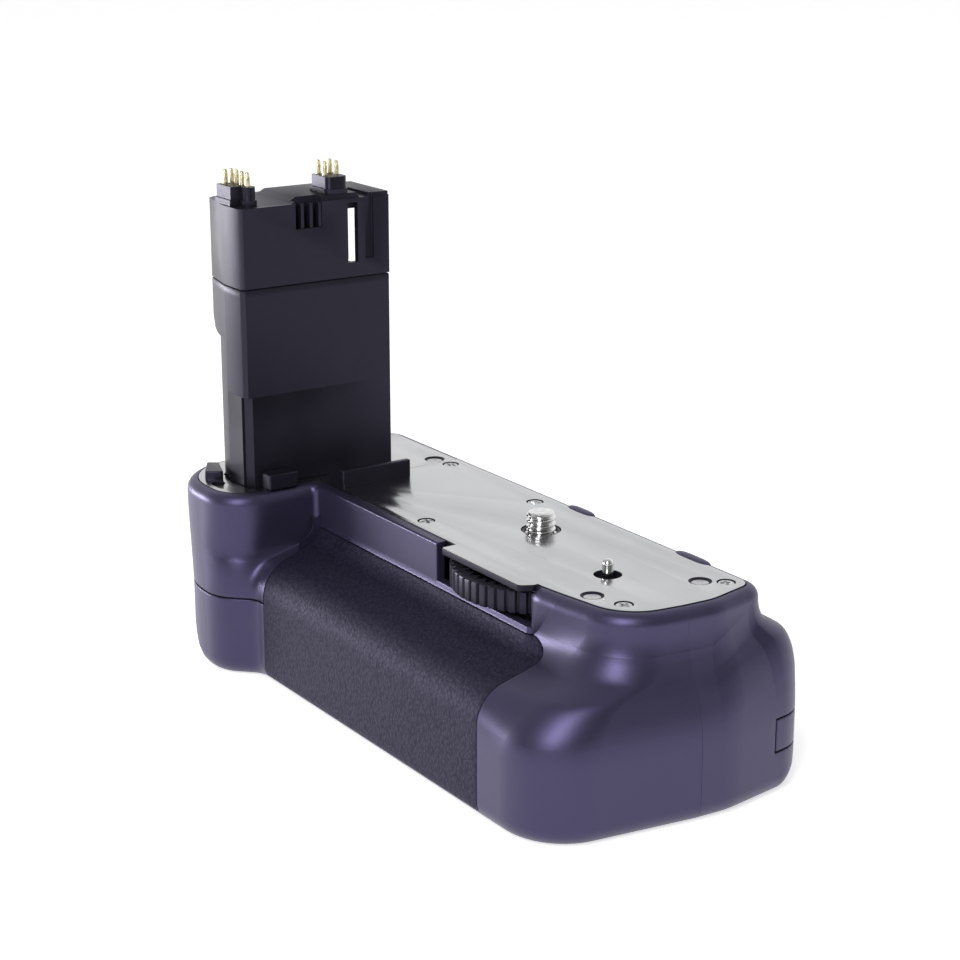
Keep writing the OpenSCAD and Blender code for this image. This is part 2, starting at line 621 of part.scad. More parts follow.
module stalk_column() {
    step_r = 3.5;
    color(stalk_colour)
        difference() {
            intersection() {
                translate([0, 0, stalk_foot]) linear_extrude(stalk_seam - stalk_foot)
                    polygon(stalk_plan(stalk_w, 0, corner_cut));
                translate([0, big / 2, 0]) rotate([90, 0, 0]) linear_extrude(big)
                    polygon(concat(
                        [[-stalk_x + 1, stalk_foot - 1], [-stalk_x + 1, stalk_seam + 1],
                         [-stalk_x - stalk_w - 1, stalk_seam + 1]],
                        [[-stalk_x - stalk_w - 1, stalk_step + step_r]],
                        [for (a = [0 : 15 : 90])
                            [-stalk_x - stalk_w + (stalk_w - stalk_low_w) * (1 - cos(a)),
                             stalk_step + step_r - (step_r + 1) * sin(a)]],
                        [[-stalk_x - stalk_low_w, stalk_foot - 1]]));
            }
            translate([-stalk_x, -stalk_front, stalk_foot - 1]) linear_extrude(lip_z - stalk_foot + 1)
                polygon([[-2.4, -1], [1, -1], [1, 1.9], [0, 1.8], [-2, 0.6], [-2.4, 1]]);
        }
}

slot_y = [-stalk_front + 27.4, -stalk_front + 30.1];
slot_z = [stalk_h - 14.8, stalk_h - 1];
cap_wall = 1.6;
cap_roof = 2.6;
groove_y = [-stalk_front + 32, -stalk_front + 34.3];
comb_y = [-stalk_front + 14, -stalk_front + 20.8];
comb_z = stalk_h - 5.8;
comb_depth = 2.4;
rib_w = 0.8;
platform_h = 1.2;
platform_y = [-stalk_front + 13, -stalk_front + 31];
module stalk_cap() {
    color(stalk_colour)
        difference() {
            union() {
                translate([0, 0, stalk_seam + fit_gap]) linear_extrude(stalk_h - stalk_seam - fit_gap)
                    polygon(stalk_plan(stalk_w, 0, corner_cut));
                translate([-stalk_x - stalk_w + 3, 0, stalk_h - 0.1]) rotate([90, 0, 90])
                    linear_extrude(stalk_w - 3.4)
                        polygon([[platform_y[0], 0], [platform_y[0] + 2.4, platform_h + 0.1],
                                 [platform_y[1] - 1, platform_h + 0.1], [platform_y[1], 0]]);
                translate([-stalk_x - stalk_w + 3, stalk_back - 5, stalk_h - 0.1])
                    cube([stalk_w - 3.4, 5, 0.9]);
            }
            translate([-stalk_x - cap_wall - 0.1, slot_y[0], slot_z[0]])
                cube([cap_wall + 1, slot_y[1] - slot_y[0], slot_z[1] - slot_z[0]]);
            translate([-stalk_x - stalk_w + cap_wall, slot_y[0] - 1, stalk_seam - 1])
                cube([stalk_w - 2 * cap_wall, big, stalk_h - cap_roof - stalk_seam + 1]);
            translate([-stalk_x - 0.9, groove_y[0], slot_z[0] + 0.6])
                cube([3, groove_y[1] - groove_y[0], stalk_h]);
            translate([-stalk_x - comb_depth, comb_y[0], comb_z])
                cube([comb_depth + 1, comb_y[1] - comb_y[0], stalk_h]);
        }
}

module comb_contacts() {
    color(stalk_colour)
        for (i = [1 : 3])
            translate([-stalk_x - comb_depth, comb_y[0] + i * (comb_y[1] - comb_y[0]) / 3 - rib_w, comb_z])
                cube([comb_depth - 0.2, rib_w, stalk_h - comb_z - 0.2]);
}

pin_pitch = 2.55;
front_pin_row = [for (i = [0 : 3]) [-stalk_x - 11.7 + pin_pitch * i, -stalk_front + 4.2]];
front_pin_at = concat(front_pin_row, [front_pin_row[0] + [0.6, -1.8]]);
module block_outline(grow) {
    translate([-stalk_x - 8.9, -stalk_front + 3.2]) square([6.6 + 2 * grow, 5 + 2 * grow], center = true);
    translate([-stalk_x - 5.2, -stalk_front + 4.4]) square([2, 1.6], center = true);
    translate([-stalk_x - 4.1, -stalk_front + 4.4]) circle(r = 1.5 + grow);
}
module front_contact_block() {
    color(stalk_colour)
        union() {
            translate([0, 0, stalk_h]) linear_extrude(1.3) block_outline(0.35);
            translate([0, 0, stalk_h + 1.2]) linear_extrude(contact_h - 1.2) block_outline(0);
        }
}
module contact_pin(top) {
    translate([0, 0, top]) cylinder(d = contact_d, h = contact_pin_h - contact_d / 2);
    translate([0, 0, top + contact_pin_h - contact_d / 2]) sphere(d = contact_d);
}
module front_contact_pins() {
    color(brass_colour)
        for (p = front_pin_at) translate([p.x, p.y, stalk_h + contact_h]) contact_pin(0);
}

rear_block_at = [-stalk_x - 5, -stalk_front + 25.6];
rear_block_base = stalk_h + platform_h;
rear_block_h = contact_h - 0.4;
module rear_outline(grow) {
    translate([-0.3, 0]) square([5.8 + 2 * grow, 5.4 + 2 * grow], center = true);
    hull() for (y = [-1.2, 1.2]) translate([2.6, y]) circle(r = 1.5 + grow);
}
module rear_contact_block() {
    color(stalk_colour)
        translate([rear_block_at.x, rear_block_at.y, rear_block_base]) {
            linear_extrude(1.1) rear_outline(0.35);
            translate([0, 0, 1]) linear_extrude(rear_block_h - 1) rear_outline(0);
        }
}
module rear_contact_pins() {
    color(brass_colour)
        for (x = [-2.2, 0.8]) for (y = [-1.5, 1.5])
            translate([rear_block_at.x + x, rear_block_at.y + y, rear_block_base + rear_block_h])
                contact_pin(0);
}

// Wheel drive: the thumb wheel is a cup with teeth inside its rim that turn the pinion on the screw
wheel_dist = tooth_m * (ring_teeth - pinion_teeth) / 2;
wheel_at = wheel_dist * [cos(wheel_dir), sin(wheel_dir)];
mesh_dir = wheel_dir + 180;
pressure_angle = 25;
backlash = 0.12;
wheel_top = -plate_t - 0.6;
wheel_floor = wheel_top - wheel_rim_h;
web_t = 1.2;
wheel_bottom = wheel_floor - web_t;
hub_r = axle_d / 2 + 2;
pinion_bottom = wheel_floor + run_gap;
pinion_top = wheel_top - 0.9;
journal_d = screw_d + 0.65;
screw_tip = 0.6;
relief_h = 0.5;
relief_d = screw_d - 1.3;

function inv(a) = tan(a) * 180 / PI - a;
function tooth_half(n, r, thin) = let (rp = tooth_m * n / 2, rb = rp * cos(pressure_angle))
    90 / n - thin / rp * 180 / PI + inv(pressure_angle) - inv(acos(min(1, rb / max(r, rb))));
function gear_pts(n, r0, r1, thin) = let (steps = 2)
    [for (i = [0 : n - 1]) for (side = [-1, 1]) for (k = [0 : steps])
        let (r = r0 + (r1 - r0) * (side < 0 ? k : steps - k) / steps,
             a = 360 * i / n + side * tooth_half(n, r, thin)) r * [cos(a), sin(a)]];
function ribbed_pts(n, r0, r1) =
    [for (i = [0 : n - 1]) for (k = [[-0.42, r0], [-0.36, r1], [0.36, r1], [0.42, r0]])
        let (a = 360 * (i + k[0]) / n) k[1] * [cos(a), sin(a)]];

module thumb_wheel() {
    ring_r = tooth_m * ring_teeth / 2;
    color(stalk_colour)
        translate([wheel_at.x, wheel_at.y, 0])
            difference() {
                union() {
                    difference() {
                        translate([0, 0, wheel_bottom]) rotate(mesh_dir)
                            linear_extrude(wheel_top - wheel_bottom)
                                polygon(ribbed_pts(wheel_ribs, wheel_r - 0.7, wheel_r));
                        translate([0, 0, wheel_floor]) rotate(mesh_dir) linear_extrude(10)
                            polygon(gear_pts(ring_teeth, ring_r - 0.7, ring_r + 0.95, -backlash / 2));
                    }
                    translate([0, 0, wheel_bottom]) cylinder(r = hub_r, h = wheel_top - 1 - wheel_bottom);
                }
                translate([0, 0, wheel_bottom - 1]) cylinder(d = axle_d + 2 * shaft_gap, h = 20);
            }
}

axle_head_h = 0.5;
module wheel_axle() {
    color(metal_colour)
        translate([wheel_at.x, wheel_at.y, 0]) {
            translate([0, 0, chassis_bottom]) cylinder(d = axle_d, h = wheel_top - 0.9 - chassis_bottom);
            translate([0, 0, wheel_top - 0.9]) cylinder(r = axle_d / 2 + 1.2, h = axle_head_h);
        }
}

module screw_bush() {
    color(stalk_colour)
        difference() {
            translate([0, 0, wheel_top + fit_gap])
                cylinder(d = screw_hole_d - 0.04, h = -wheel_top - 2 * fit_gap);
            translate([0, 0, -20]) cylinder(d = journal_d + 2 * shaft_gap, h = 40);
        }
}

module attach_screw() {
    pinion_r = tooth_m * pinion_teeth / 2;
    color(metal_colour)
        union() {
            translate([0, 0, pinion_top - 0.1]) cylinder(d = journal_d, h = 0.1 - pinion_top - relief_h);
            translate([0, 0, -relief_h - 0.1]) cylinder(d = relief_d, h = relief_h + 0.2);
            cylinder(d = screw_d, h = screw_h - screw_tip);
            translate([0, 0, screw_h - screw_tip])
                cylinder(d1 = screw_d, d2 = screw_d - 2 * screw_tip, h = screw_tip);
            translate([0, 0, pinion_bottom]) rotate(mesh_dir) linear_extrude(pinion_top - pinion_bottom)
                polygon(gear_pts(pinion_teeth, pinion_r - 0.95, pinion_r + 0.7, backlash));
        }
}

// Chassis inside the housing
chassis_top = -11;
chassis_t = 2;
chassis_bottom = chassis_top - chassis_t;
post_r = 2.4;
chassis_half = right_top - 7;
module chassis() {
    rim_front = -front_top + wall + fit_gap;
    edge_y = rim_front + 0.6;
    corner = 8;
    color(plate_colour)
        difference() {
            union() {
                translate([0, 0, chassis_bottom]) linear_extrude(chassis_t) polygon([
                    [-chassis_half, edge_y], [chassis_half - corner, edge_y],
                    [chassis_half, edge_y + corner], [chassis_half, rear_top - wall - fit_gap - 0.6],
                    [-chassis_half, rear_top - wall - fit_gap - 0.6]]);
                translate([-stalk_x - stalk_low_w - 3.4, -stalk_front, chassis_bottom])
                    cube([stalk_x + stalk_low_w + 3.4 - bump_edge - 2.5, stalk_front + rear_top - 5, chassis_t]);
                translate([-bump_edge - 4, edge_y, chassis_bottom])
                    cube([bump_edge + 9 - chassis_half, rear_top - 5.6 - rim_front, chassis_t]);
                for (p = plate_screw_at)
                    translate([p.x, p.y, chassis_bottom])
                        cylinder(r = post_r, h = -plate_t - chassis_bottom);
                translate([wheel_at.x, wheel_at.y, chassis_bottom])
                    cylinder(r = hub_r, h = wheel_bottom - run_gap - chassis_bottom);
                for (side = [-1, 1]) {
                    translate([side * (bay_x + bay_wall / 2) - bay_wall / 2, 0, 0])
                        rotate([90, 0, 90]) linear_extrude(bay_wall) polygon([
                            [-16, chassis_bottom + 0.5], [-16, -16], [-front_reach + 8, -shelf_z - 5],
                            [-front_reach + 4.8, -belly_z - 1], [-front_reach + 4.8, floor_z],
                            [rear_reach - 5, floor_z], [rear_reach - 5, -belly_z], [rear_top - 4, -16],
                            [rear_top - 4, chassis_bottom + 0.5]]);
                    for (p = base_screw_at) if (p.x * side > 0)
                        translate([p.x, p.y, floor_z]) {
                            cylinder(r = post_r, h = 10);
                            translate([side < 0 ? 0 : -4, -1, 0]) cube([4, 2, 10]);
                        }
                }
            }
            translate([wheel_at.x, wheel_at.y, -30]) cylinder(d = axle_d + 0.04, h = 30);
            for (p = plate_screw_at)
                translate([p.x, p.y, -plate_t - 8]) cylinder(d = plate_screw_d + 0.1, h = 9);
            for (p = base_screw_at)
                translate([p.x, p.y, floor_z - 1]) cylinder(d = base_screw_d + 0.1, h = 9.6);
        }
}

// Left control panel with the shutter button, the control dial and the power switch
panel_out = -left_reach + panel_sink;
panel_depth = 2.2;
panel_in = panel_out + panel_depth;
controls_z = -(flap_z0 + window_z1 - run_gap) / 2;
controls_h = window_z1 - flap_z0 + run_gap - 2 * fit_gap;
shutter_d = min(shutter_size, controls_h - 1.5);
dial_t = min(dial_size, controls_h - 5.5);
switch_d = min(switch_size, controls_h - 3.9);
shutter_y = -18.8;
dial_y = -3.6;
dial_x = -left_reach + dial_r;
dial_axle_d = 3;
switch_y = 9.4;
ear_t = 1.6;
board_x = -left_reach + 12.4;
board_t = 1.4;
board_drop = 6.2;
board_rise = 4.6;
board_post = [for (dy = [-5.2, 5]) [shutter_y + dy, 0.75 - controls_h / 2]];
module x_rod(r, x0, x1, y, dz = 0) {
    translate([x0, y, controls_z + dz]) rotate([0, 90, 0]) cylinder(r = r, h = x1 - x0);
}
module control_panel() {
    color(stalk_colour)
        difference() {
            union() {
                translate([panel_out, panel_y0 + fit_gap, controls_z - controls_h / 2])
                    cube([panel_depth, panel_y1 - panel_y0 - 2 * fit_gap, controls_h]);
                for (side = [-1, 1])
                    translate([panel_in - 0.1, dial_y - 3.4,
                               controls_z + side * (dial_t / 2 + run_gap + ear_t / 2) - ear_t / 2])
                        cube([dial_x + 2.6 - panel_in, 6.8, ear_t]);
                for (p = board_post) x_rod(0.9, panel_in - 0.1, board_x - board_t, p[0], p[1]);
            }
            x_rod(shutter_d / 2 + shaft_gap, panel_out - 1, panel_in + 1, shutter_y);
            x_rod(1.6 + shaft_gap, panel_out - 1, panel_in + 1, switch_y);
            translate([panel_out - 1, dial_y - dial_r + 1, controls_z - dial_t / 2 - run_gap])
                cube([dial_x - panel_out + 1, 2 * dial_r - 2, dial_t + 2 * run_gap]);
            translate([dial_x, dial_y, controls_z - 10]) cylinder(d = dial_axle_d + 0.04, h = 20);
        }
}
module dial_axle() {
    reach = dial_t / 2 + run_gap + ear_t;
    color(metal_colour)
        translate([dial_x, dial_y, controls_z - reach]) cylinder(d = dial_axle_d, h = 2 * reach);
}
module control_dial() {
    color(stalk_colour)
        translate([dial_x, dial_y, controls_z - dial_t / 2])
            difference() {
                linear_extrude(dial_t) polygon(ribbed_pts(dial_ribs, dial_r - 0.5, dial_r));
                translate([0, 0, -1]) cylinder(d = dial_axle_d + 2 * shaft_gap, h = dial_t + 2);
            }
}
module shutter_button() {
    color(stalk_colour)
        union() {
            x_rod(shutter_d / 2, -left_reach, panel_in + run_gap + 0.1, shutter_y);
            x_rod(shutter_d / 2 + 0.8, panel_in + run_gap, panel_in + run_gap + 1, shutter_y);
            x_rod(1.4, panel_in + run_gap + 0.9, panel_in + run_gap + 2.4, shutter_y);
        }
}
module shutter_board() {
    switch_x = panel_in + run_gap + 2.4 + shutter_travel + run_gap;
    board_y0 = shutter_y - 7;
    color("#2c4a3a")
        union() {
            translate([board_x - board_t, board_y0, controls_z - board_drop])
                cube([board_t, dial_y - dial_r - 0.5 - board_y0, board_drop + board_rise]);
            translate([switch_x, shutter_y - 3, controls_z - 3]) cube([board_x - board_t - switch_x + 0.1, 6, 6]);
        }
}
module power_switch() {
    color(stalk_colour)
        union() {
            x_rod(switch_d / 2, panel_out - 0.8, panel_out - run_gap, switch_y);
            x_rod(1.6, panel_out - 0.9, panel_in + run_gap + 0.1, switch_y);
            x_rod(2.4, panel_in + run_gap, panel_in + run_gap + 0.8, switch_y);
            translate([-left_reach, switch_y - 0.8, controls_z - switch_d / 2 + 0.4])
                cube([panel_sink - 0.7, 1.6, switch_d - 0.8]);
        }
}

// Rear control plate with three buttons
rear_out = rear_reach - 0.4;
rear_depth = 1.8;
rear_in = rear_out - rear_depth;
button_margin = 1.95;
button_pitch = (rear_plate_x0 - rear_plate_x1 - 2 * button_margin) / 3;
button_d = button_pitch - button_space;
button_mid = -(rear_plate_x0 + rear_plate_x1) / 2;
button_proud = button_travel + 0.1;
rear_board = rear_reach - 10.1;
module y_rod(r, y0, y1, x, z = controls_z) {
    translate([x, y1, z]) rotate([90, 0, 0]) cylinder(r = r, h = y1 - y0);
}
module rear_control_plate() {
    width = rear_plate_x0 - rear_plate_x1 - 2 * fit_gap;
    color(stalk_colour)
        difference() {
            union() {
                translate([button_mid - width / 2, rear_in, controls_z - controls_h / 2])
                    cube([width, rear_depth, controls_h]);
                for (x = [-1, 1])
                    y_rod(1, rear_board + board_t, rear_in + 0.1, button_mid + x * (width / 2 - 1.2),
                          controls_z - 0.29 * controls_h);
            }
            for (i = [-1 : 1])
                y_rod(button_d / 2 + shaft_gap, rear_in - 1, rear_out + 1, button_mid + i * button_pitch);
        }
}
module rear_button(i) {
    x = button_mid + i * button_pitch;
    color(stalk_colour)
        union() {
            y_rod(button_d / 2, rear_in - run_gap - 0.1, rear_out + button_proud, x);
            y_rod(button_d / 2 + 0.35, rear_in - run_gap - 0.7, rear_in - run_gap, x);
            y_rod(1, rear_in - run_gap - 1.8, rear_in - run_gap - 0.6, x);
        }
}
module rear_button_left() { rear_button(-1); }
module rear_button_middle() { rear_button(0); }
module rear_button_right() { rear_button(1); }
module button_board() {
    board_w = rear_plate_x0 - rear_plate_x1 - 1.5;
    board_h = 9.2;
    switch_y1 = rear_in - run_gap - 1.8 - button_travel - run_gap;
    color("#2c4a3a")
        union() {
            translate([button_mid - board_w / 2, rear_board, controls_z - board_h / 2]) cube([board_w, board_t, board_h]);
            for (i = [-1 : 1])
                translate([button_mid + i * button_pitch - 2.2, rear_board + board_t - 0.1, controls_z - 2.2])
                    cube([4.4, switch_y1 - rear_board - board_t + 0.1, 4.4]);
        }
}

// Magazine: a tray of cells behind a door in the rear, held by a quarter-turn latch
tray_z0 = -body_h + bush_h + 0.4;
tray_half = cells * (cell_d + 0.1) / 2 + tray_t;
tray_h = cell_d + 1.2;
tray_y1 = rear_reach - wall - 2.8;
tray_y0 = tray_y1 - cell_len - 2 * tray_t;
latch_x = door_x - 9.5;
latch_z = -body_h + 9.5;
latch_shaft_d = 4;
tongue_len = 11.8;
tongue_t = 1.2;
module latch_axis(r) {
    y_rod(r, rear_reach - wall - 5, rear_reach + 5, latch_x, latch_z);
}
module magazine_tray() {
    color(stalk_colour)
        difference() {
            union() {
                translate([-tray_half, tray_y0, tray_z0])
                    cube([2 * tray_half, tray_y1 - tray_y0, tray_h]);
                for (x = [-tray_half, -2, latch_x - 14])
                    translate([x, tray_y1 - 0.1, tray_z0]) cube([4, rear_reach - wall - tray_y1 + 0.1, 3]);
            }
            translate([-tray_half + tray_t, tray_y0 + tray_t, tray_z0 + tray_t + 2])
                cube([2 * (tray_half - tray_t), cell_len, tray_h]);
            for (i = [0 : cells - 1])
                translate([-tray_half + tray_t + (i + 0.5) * (cell_d + 0.1), tray_y0 + tray_t,
                           tray_z0 + tray_t + cell_d / 2])
                    rotate([-90, 0, 0]) cylinder(d = cell_d, h = cell_len);
        }
}
module magazine_contacts() {
    strip = 2 * cell_d - 5;
    color(brass_colour)
        for (y = [tray_y0 + tray_t, tray_y1 - tray_t - 0.4]) for (i = [0 : cells / 2 - 1])
            translate([-tray_half + tray_t + (2 * i + 1) * (cell_d + 0.1) - strip / 2, y,
                       tray_z0 + tray_t + cell_d / 2 - 1.5])
                cube([strip, 0.4, 5]);
}
module magazine_latch() {
    y0 = rear_reach + 0.1;
    color(stalk_colour)
        union() {
            y_rod(latch_d / 2, y0, y0 + latch_h / 2, latch_x, latch_z);
            translate([latch_x - latch_d / 2 + 0.8, y0 + latch_h / 2 - 0.1, latch_z - 1.4])
                cube([latch_d - 1.6, latch_h / 2 + 0.1, 2.8]);
            y_rod(latch_shaft_d / 2, rear_reach - wall - 0.6 - tongue_t, y0 + 0.1, latch_x, latch_z);
            translate([latch_x - 2, rear_reach - wall - 0.6 - tongue_t, latch_z])
                cube([4, tongue_t, tongue_len]);
        }
}

// Contacts in front of the tray and the socket behind the cord flap
module bay_contacts() {
    y0 = -front_reach + wall + 0.05;
    color(brass_colour)
        for (x = [-9, 9])
            translate([x - 4, y0, tray_z0 + 3]) cube([8, tray_y0 - 0.4 - y0, 6]);
}
module cord_socket() {
    x0 = bay_x + bay_wall + 0.05;
    x1 = right_reach - 7;
    color(stalk_colour)
        difference() {
            translate([x0, rear_reach - 11.3, -flap_z1 + 0.6]) cube([x1 - x0, 6, flap_z1 - flap_z0 - 1.2]);
            translate([x1 - 4, rear_reach - 8.3, -(flap_z0 + flap_z1) / 2]) rotate([0, 90, 0])
                cylinder(r = 1.6, h = 8);
        }
}

front_shell();
rear_shell();
control_cap();
base_cover();
top_plate();
stalk_deck();
grip_panel();
chassis();
stalk_column();
stalk_cap();
door_keeper();
stop_block();
front_contact_block();
front_contact_pins();
rear_contact_block();
rear_contact_pins();
comb_contacts();
locating_pin();
plate_screws();
base_screws();
rim_pads();
tripod_bush();
wheel_axle();
screw_bush();
control_panel();
dial_axle();
shutter_board();
rear_control_plate();
button_board();
bay_contacts();
cord_socket();
thumb_wheel();
attach_screw();
shutter_button();
control_dial();
power_switch();
rear_button_left();
rear_button_middle();
rear_button_right();
magazine_tray();
magazine_door();
magazine_contacts();
magazine_latch();
cord_flap();
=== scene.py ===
import json
import math

import bmesh
import bpy
import numpy as np
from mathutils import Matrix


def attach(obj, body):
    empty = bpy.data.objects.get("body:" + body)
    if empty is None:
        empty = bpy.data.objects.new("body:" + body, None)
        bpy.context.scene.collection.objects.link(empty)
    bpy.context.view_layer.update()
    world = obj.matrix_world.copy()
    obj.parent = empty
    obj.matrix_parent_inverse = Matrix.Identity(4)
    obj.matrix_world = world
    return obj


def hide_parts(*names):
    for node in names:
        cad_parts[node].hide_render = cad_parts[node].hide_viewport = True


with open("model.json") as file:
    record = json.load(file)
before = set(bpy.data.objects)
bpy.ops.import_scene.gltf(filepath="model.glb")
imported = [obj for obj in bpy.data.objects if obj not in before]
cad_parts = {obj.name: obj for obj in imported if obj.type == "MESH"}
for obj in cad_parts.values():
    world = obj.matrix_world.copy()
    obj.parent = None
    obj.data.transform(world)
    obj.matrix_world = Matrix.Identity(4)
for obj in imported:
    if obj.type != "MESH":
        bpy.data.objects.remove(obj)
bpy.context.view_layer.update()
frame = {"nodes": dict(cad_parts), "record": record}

# A camera battery grip. Points are worked out in millimetres in the part's own frame, and put into the
# meshes in metres: X along the grip with the stalk at -X, -Y the front, Z up from the plate's top face.
MM = 0.001

# Finishes


def linear(code):
    """An sRGB hex colour as linear RGBA."""
    srgb = np.array([int(code[i:i + 2], 16) / 255 for i in (1, 3, 5)])
    rgb = np.where(srgb <= 0.04045, srgb / 12.92, ((srgb + 0.055) / 1.055) ** 2.4)
    return (*rgb.tolist(), 1.0)


def add(tree, kind, inputs=None, **settings):
    """Adds a node, sets its settings, and gives each input a value or a link."""
    made = tree.nodes.new(kind)
    for key, value in settings.items():
        setattr(made, key, value)
    for key, value in (inputs or {}).items():
        if isinstance(value, bpy.types.NodeSocket):
            tree.links.new(value, made.inputs[key])
        else:
            made.inputs[key].default_value = value
    return made


def per_mm(size):
    """Pattern scale, in Object coordinates of metres, that gives features of this size in millimetres."""
    return 1000.0 / size


def new_finish(name, **sockets):
    """A material with a Principled surface whose constant sockets are set, and its Object coordinates."""
    material = bpy.data.materials.new(name)
    material.use_nodes = True
    tree = material.node_tree
    shader = tree.nodes["Principled BSDF"]
    for key, value in sockets.items():
        shader.inputs[key.replace("_", " ")].default_value = value
    place = add(tree, "ShaderNodeTexCoord").outputs["Object"]
    return material, tree, shader, place


def two_tone(tree, shader, factor, dark, light, low, high):
    """Colour runs from dark to light as a pattern goes from low to high."""
    ramp = add(tree, "ShaderNodeValToRGB", {"Fac": factor})
    ramp.color_ramp.elements[0].position = low
    ramp.color_ramp.elements[0].color = linear(dark)
    ramp.color_ramp.elements[1].position = high
    ramp.color_ramp.elements[1].color = linear(light)
    tree.links.new(ramp.outputs["Color"], shader.inputs["Base Color"])


def spread(tree, shader, socket, factor, low, high):
    """A shader value runs from low to high as a pattern goes from 0 to 1."""
    span = add(tree, "ShaderNodeMapRange", {"Value": factor, "To Min": low, "To Max": high})
    tree.links.new(span.outputs["Result"], shader.inputs[socket])


def relief(tree, shader, height, depth_mm, strength=1.0):
    """The pattern's height, in millimetres, tilts the light on the surface."""
    bump = add(tree, "ShaderNodeBump", {"Height": height, "Distance": depth_mm * MM, "Strength": strength})
    tree.links.new(bump.outputs["Normal"], shader.inputs["Normal"])


def moulded_abs():
    """Spark-textured ABS of the housing: a fine matt grain that breaks highlights into a soft lavender bloom.
    The real grain is about 0.1 mm and is drawn at 0.4 mm so that it shows."""
    material, tree, shader, place = new_finish(
        "moulded_textured_abs", Metallic=0.0, IOR=1.85, Specular_Tint=linear("#c6baff"))
    grain = add(tree, "ShaderNodeTexNoise", {"Vector": place, "Scale": per_mm(0.4), "Detail": 3.0}).outputs["Fac"]
    cloud = add(tree, "ShaderNodeTexNoise", {"Vector": place, "Scale": per_mm(18), "Detail": 4.0}).outputs["Fac"]
    two_tone(tree, shader, cloud, "#1d1b27", "#22202d", 0.3, 0.7)
    spread(tree, shader, "Roughness", cloud, 0.36, 0.44)
    relief(tree, shader, grain, 0.03, 0.5)
    return material


def leatherette():
    """Rubber sheet embossed like leather: rounded pebbles about 1 mm across, its colour darker towards the creases
    between them as painted shade.
    """
    material, tree, shader, place = new_finish(
        "embossed_leatherette", Metallic=0.0, IOR=1.4, Specular_Tint=linear("#bdb2ff"))
    stir = add(tree, "ShaderNodeTexNoise", {"Vector": place, "Scale": per_mm(1.6), "Detail": 2.0}).outputs["Color"]
    moved = add(tree, "ShaderNodeMix", {"Factor": 0.0012, "A": place, "B": stir}, data_type="VECTOR").outputs[1]
    pebble = add(tree, "ShaderNodeTexVoronoi", {"Vector": moved, "Scale": per_mm(0.8), "Smoothness": 0.6},
                 feature="SMOOTH_F1").outputs["Distance"]
    fine = add(tree, "ShaderNodeTexNoise", {"Vector": place, "Scale": per_mm(0.35), "Detail": 3.0}).outputs["Fac"]
    down = add(tree, "ShaderNodeMath", {0: fine, 1: 0.5}, operation="MULTIPLY").outputs[0]
    height = add(tree, "ShaderNodeMath", {0: down, 1: pebble}, operation="SUBTRACT").outputs[0]
    # painted shade: the base colour darkens from the pebbles' middles into the creases between them
    two_tone(tree, shader, pebble, "#201d2a", "#131119", 0.2, 0.8)
    spread(tree, shader, "Roughness", pebble, 0.55, 0.7)
    relief(tree, shader, height, 0.14, 0.7)
    return material


def satin_plate():
    """Stainless sheet with a fine satin polish: it mirrors the bright room softly, with faint smears from handling."""
    material, tree, shader, place = new_finish("satin_stainless_steel", Metallic=1.0)
    smear = add(tree, "ShaderNodeTexNoise", {"Vector": place, "Scale": per_mm(30), "Detail": 6.0}).outputs["Fac"]
    grit = add(tree, "ShaderNodeTexNoise", {"Vector": place, "Scale": per_mm(0.5), "Detail": 2.0}).outputs["Fac"]
    two_tone(tree, shader, smear, "#b4b6b8", "#c3c4c6", 0.3, 0.7)
    spread(tree, shader, "Roughness", smear, 0.17, 0.27)
    relief(tree, shader, grit, 0.006, 0.2)
    return material


def smooth_abs(name, dark, light, rough):
    """Plain moulded ABS: nearly smooth, with slow flow marks and a little dust haze."""
    material, tree, shader, place = new_finish(name, Metallic=0.0, IOR=1.4, Specular_Tint=linear("#d6cfff"))
    flow = add(tree, "ShaderNodeTexNoise", {"Vector": place, "Scale": per_mm(9), "Detail": 5.0}).outputs["Fac"]
    grain = add(tree, "ShaderNodeTexNoise", {"Vector": place, "Scale": per_mm(0.45), "Detail": 2.0}).outputs["Fac"]
    two_tone(tree, shader, flow, dark, light, 0.3, 0.7)
    spread(tree, shader, "Roughness", flow, rough - 0.06, rough + 0.06)
    relief(tree, shader, grain, 0.015, 0.4)
    return material


def plated_metal(name, dark, light, rough):
    """Turned and plated metal: bright, with fine turning marks that stretch its highlights."""
    material, tree, shader, place = new_finish(name, Metallic=1.0)
    turned = add(tree, "ShaderNodeMapping", {"Vector": place, "Scale": (1.0, 1.0, 8.0)}).outputs["Vector"]
    lines = add(tree, "ShaderNodeTexNoise", {"Vector": turned, "Scale": per_mm(1.2), "Detail": 4.0}).outputs["Fac"]
    two_tone(tree, shader, lines, dark, light, 0.3, 0.7)
    spread(tree, shader, "Roughness", lines, rough - 0.05, rough + 0.07)
    relief(tree, shader, lines, 0.01, 0.3)
    return material


def circuit_board():
    """Solder-masked fibreglass board: glossy green over a faint woven ground."""
    material, tree, shader, place = new_finish("solder_masked_board", Metallic=0.0, IOR=1.5)
    weave = add(tree, "ShaderNodeTexChecker", {"Vector": place, "Scale": per_mm(0.6)}).outputs["Fac"]
    two_tone(tree, shader, weave, "#123a26", "#164630", 0.0, 1.0)
    spread(tree, shader, "Roughness", weave, 0.25, 0.32)
    return material


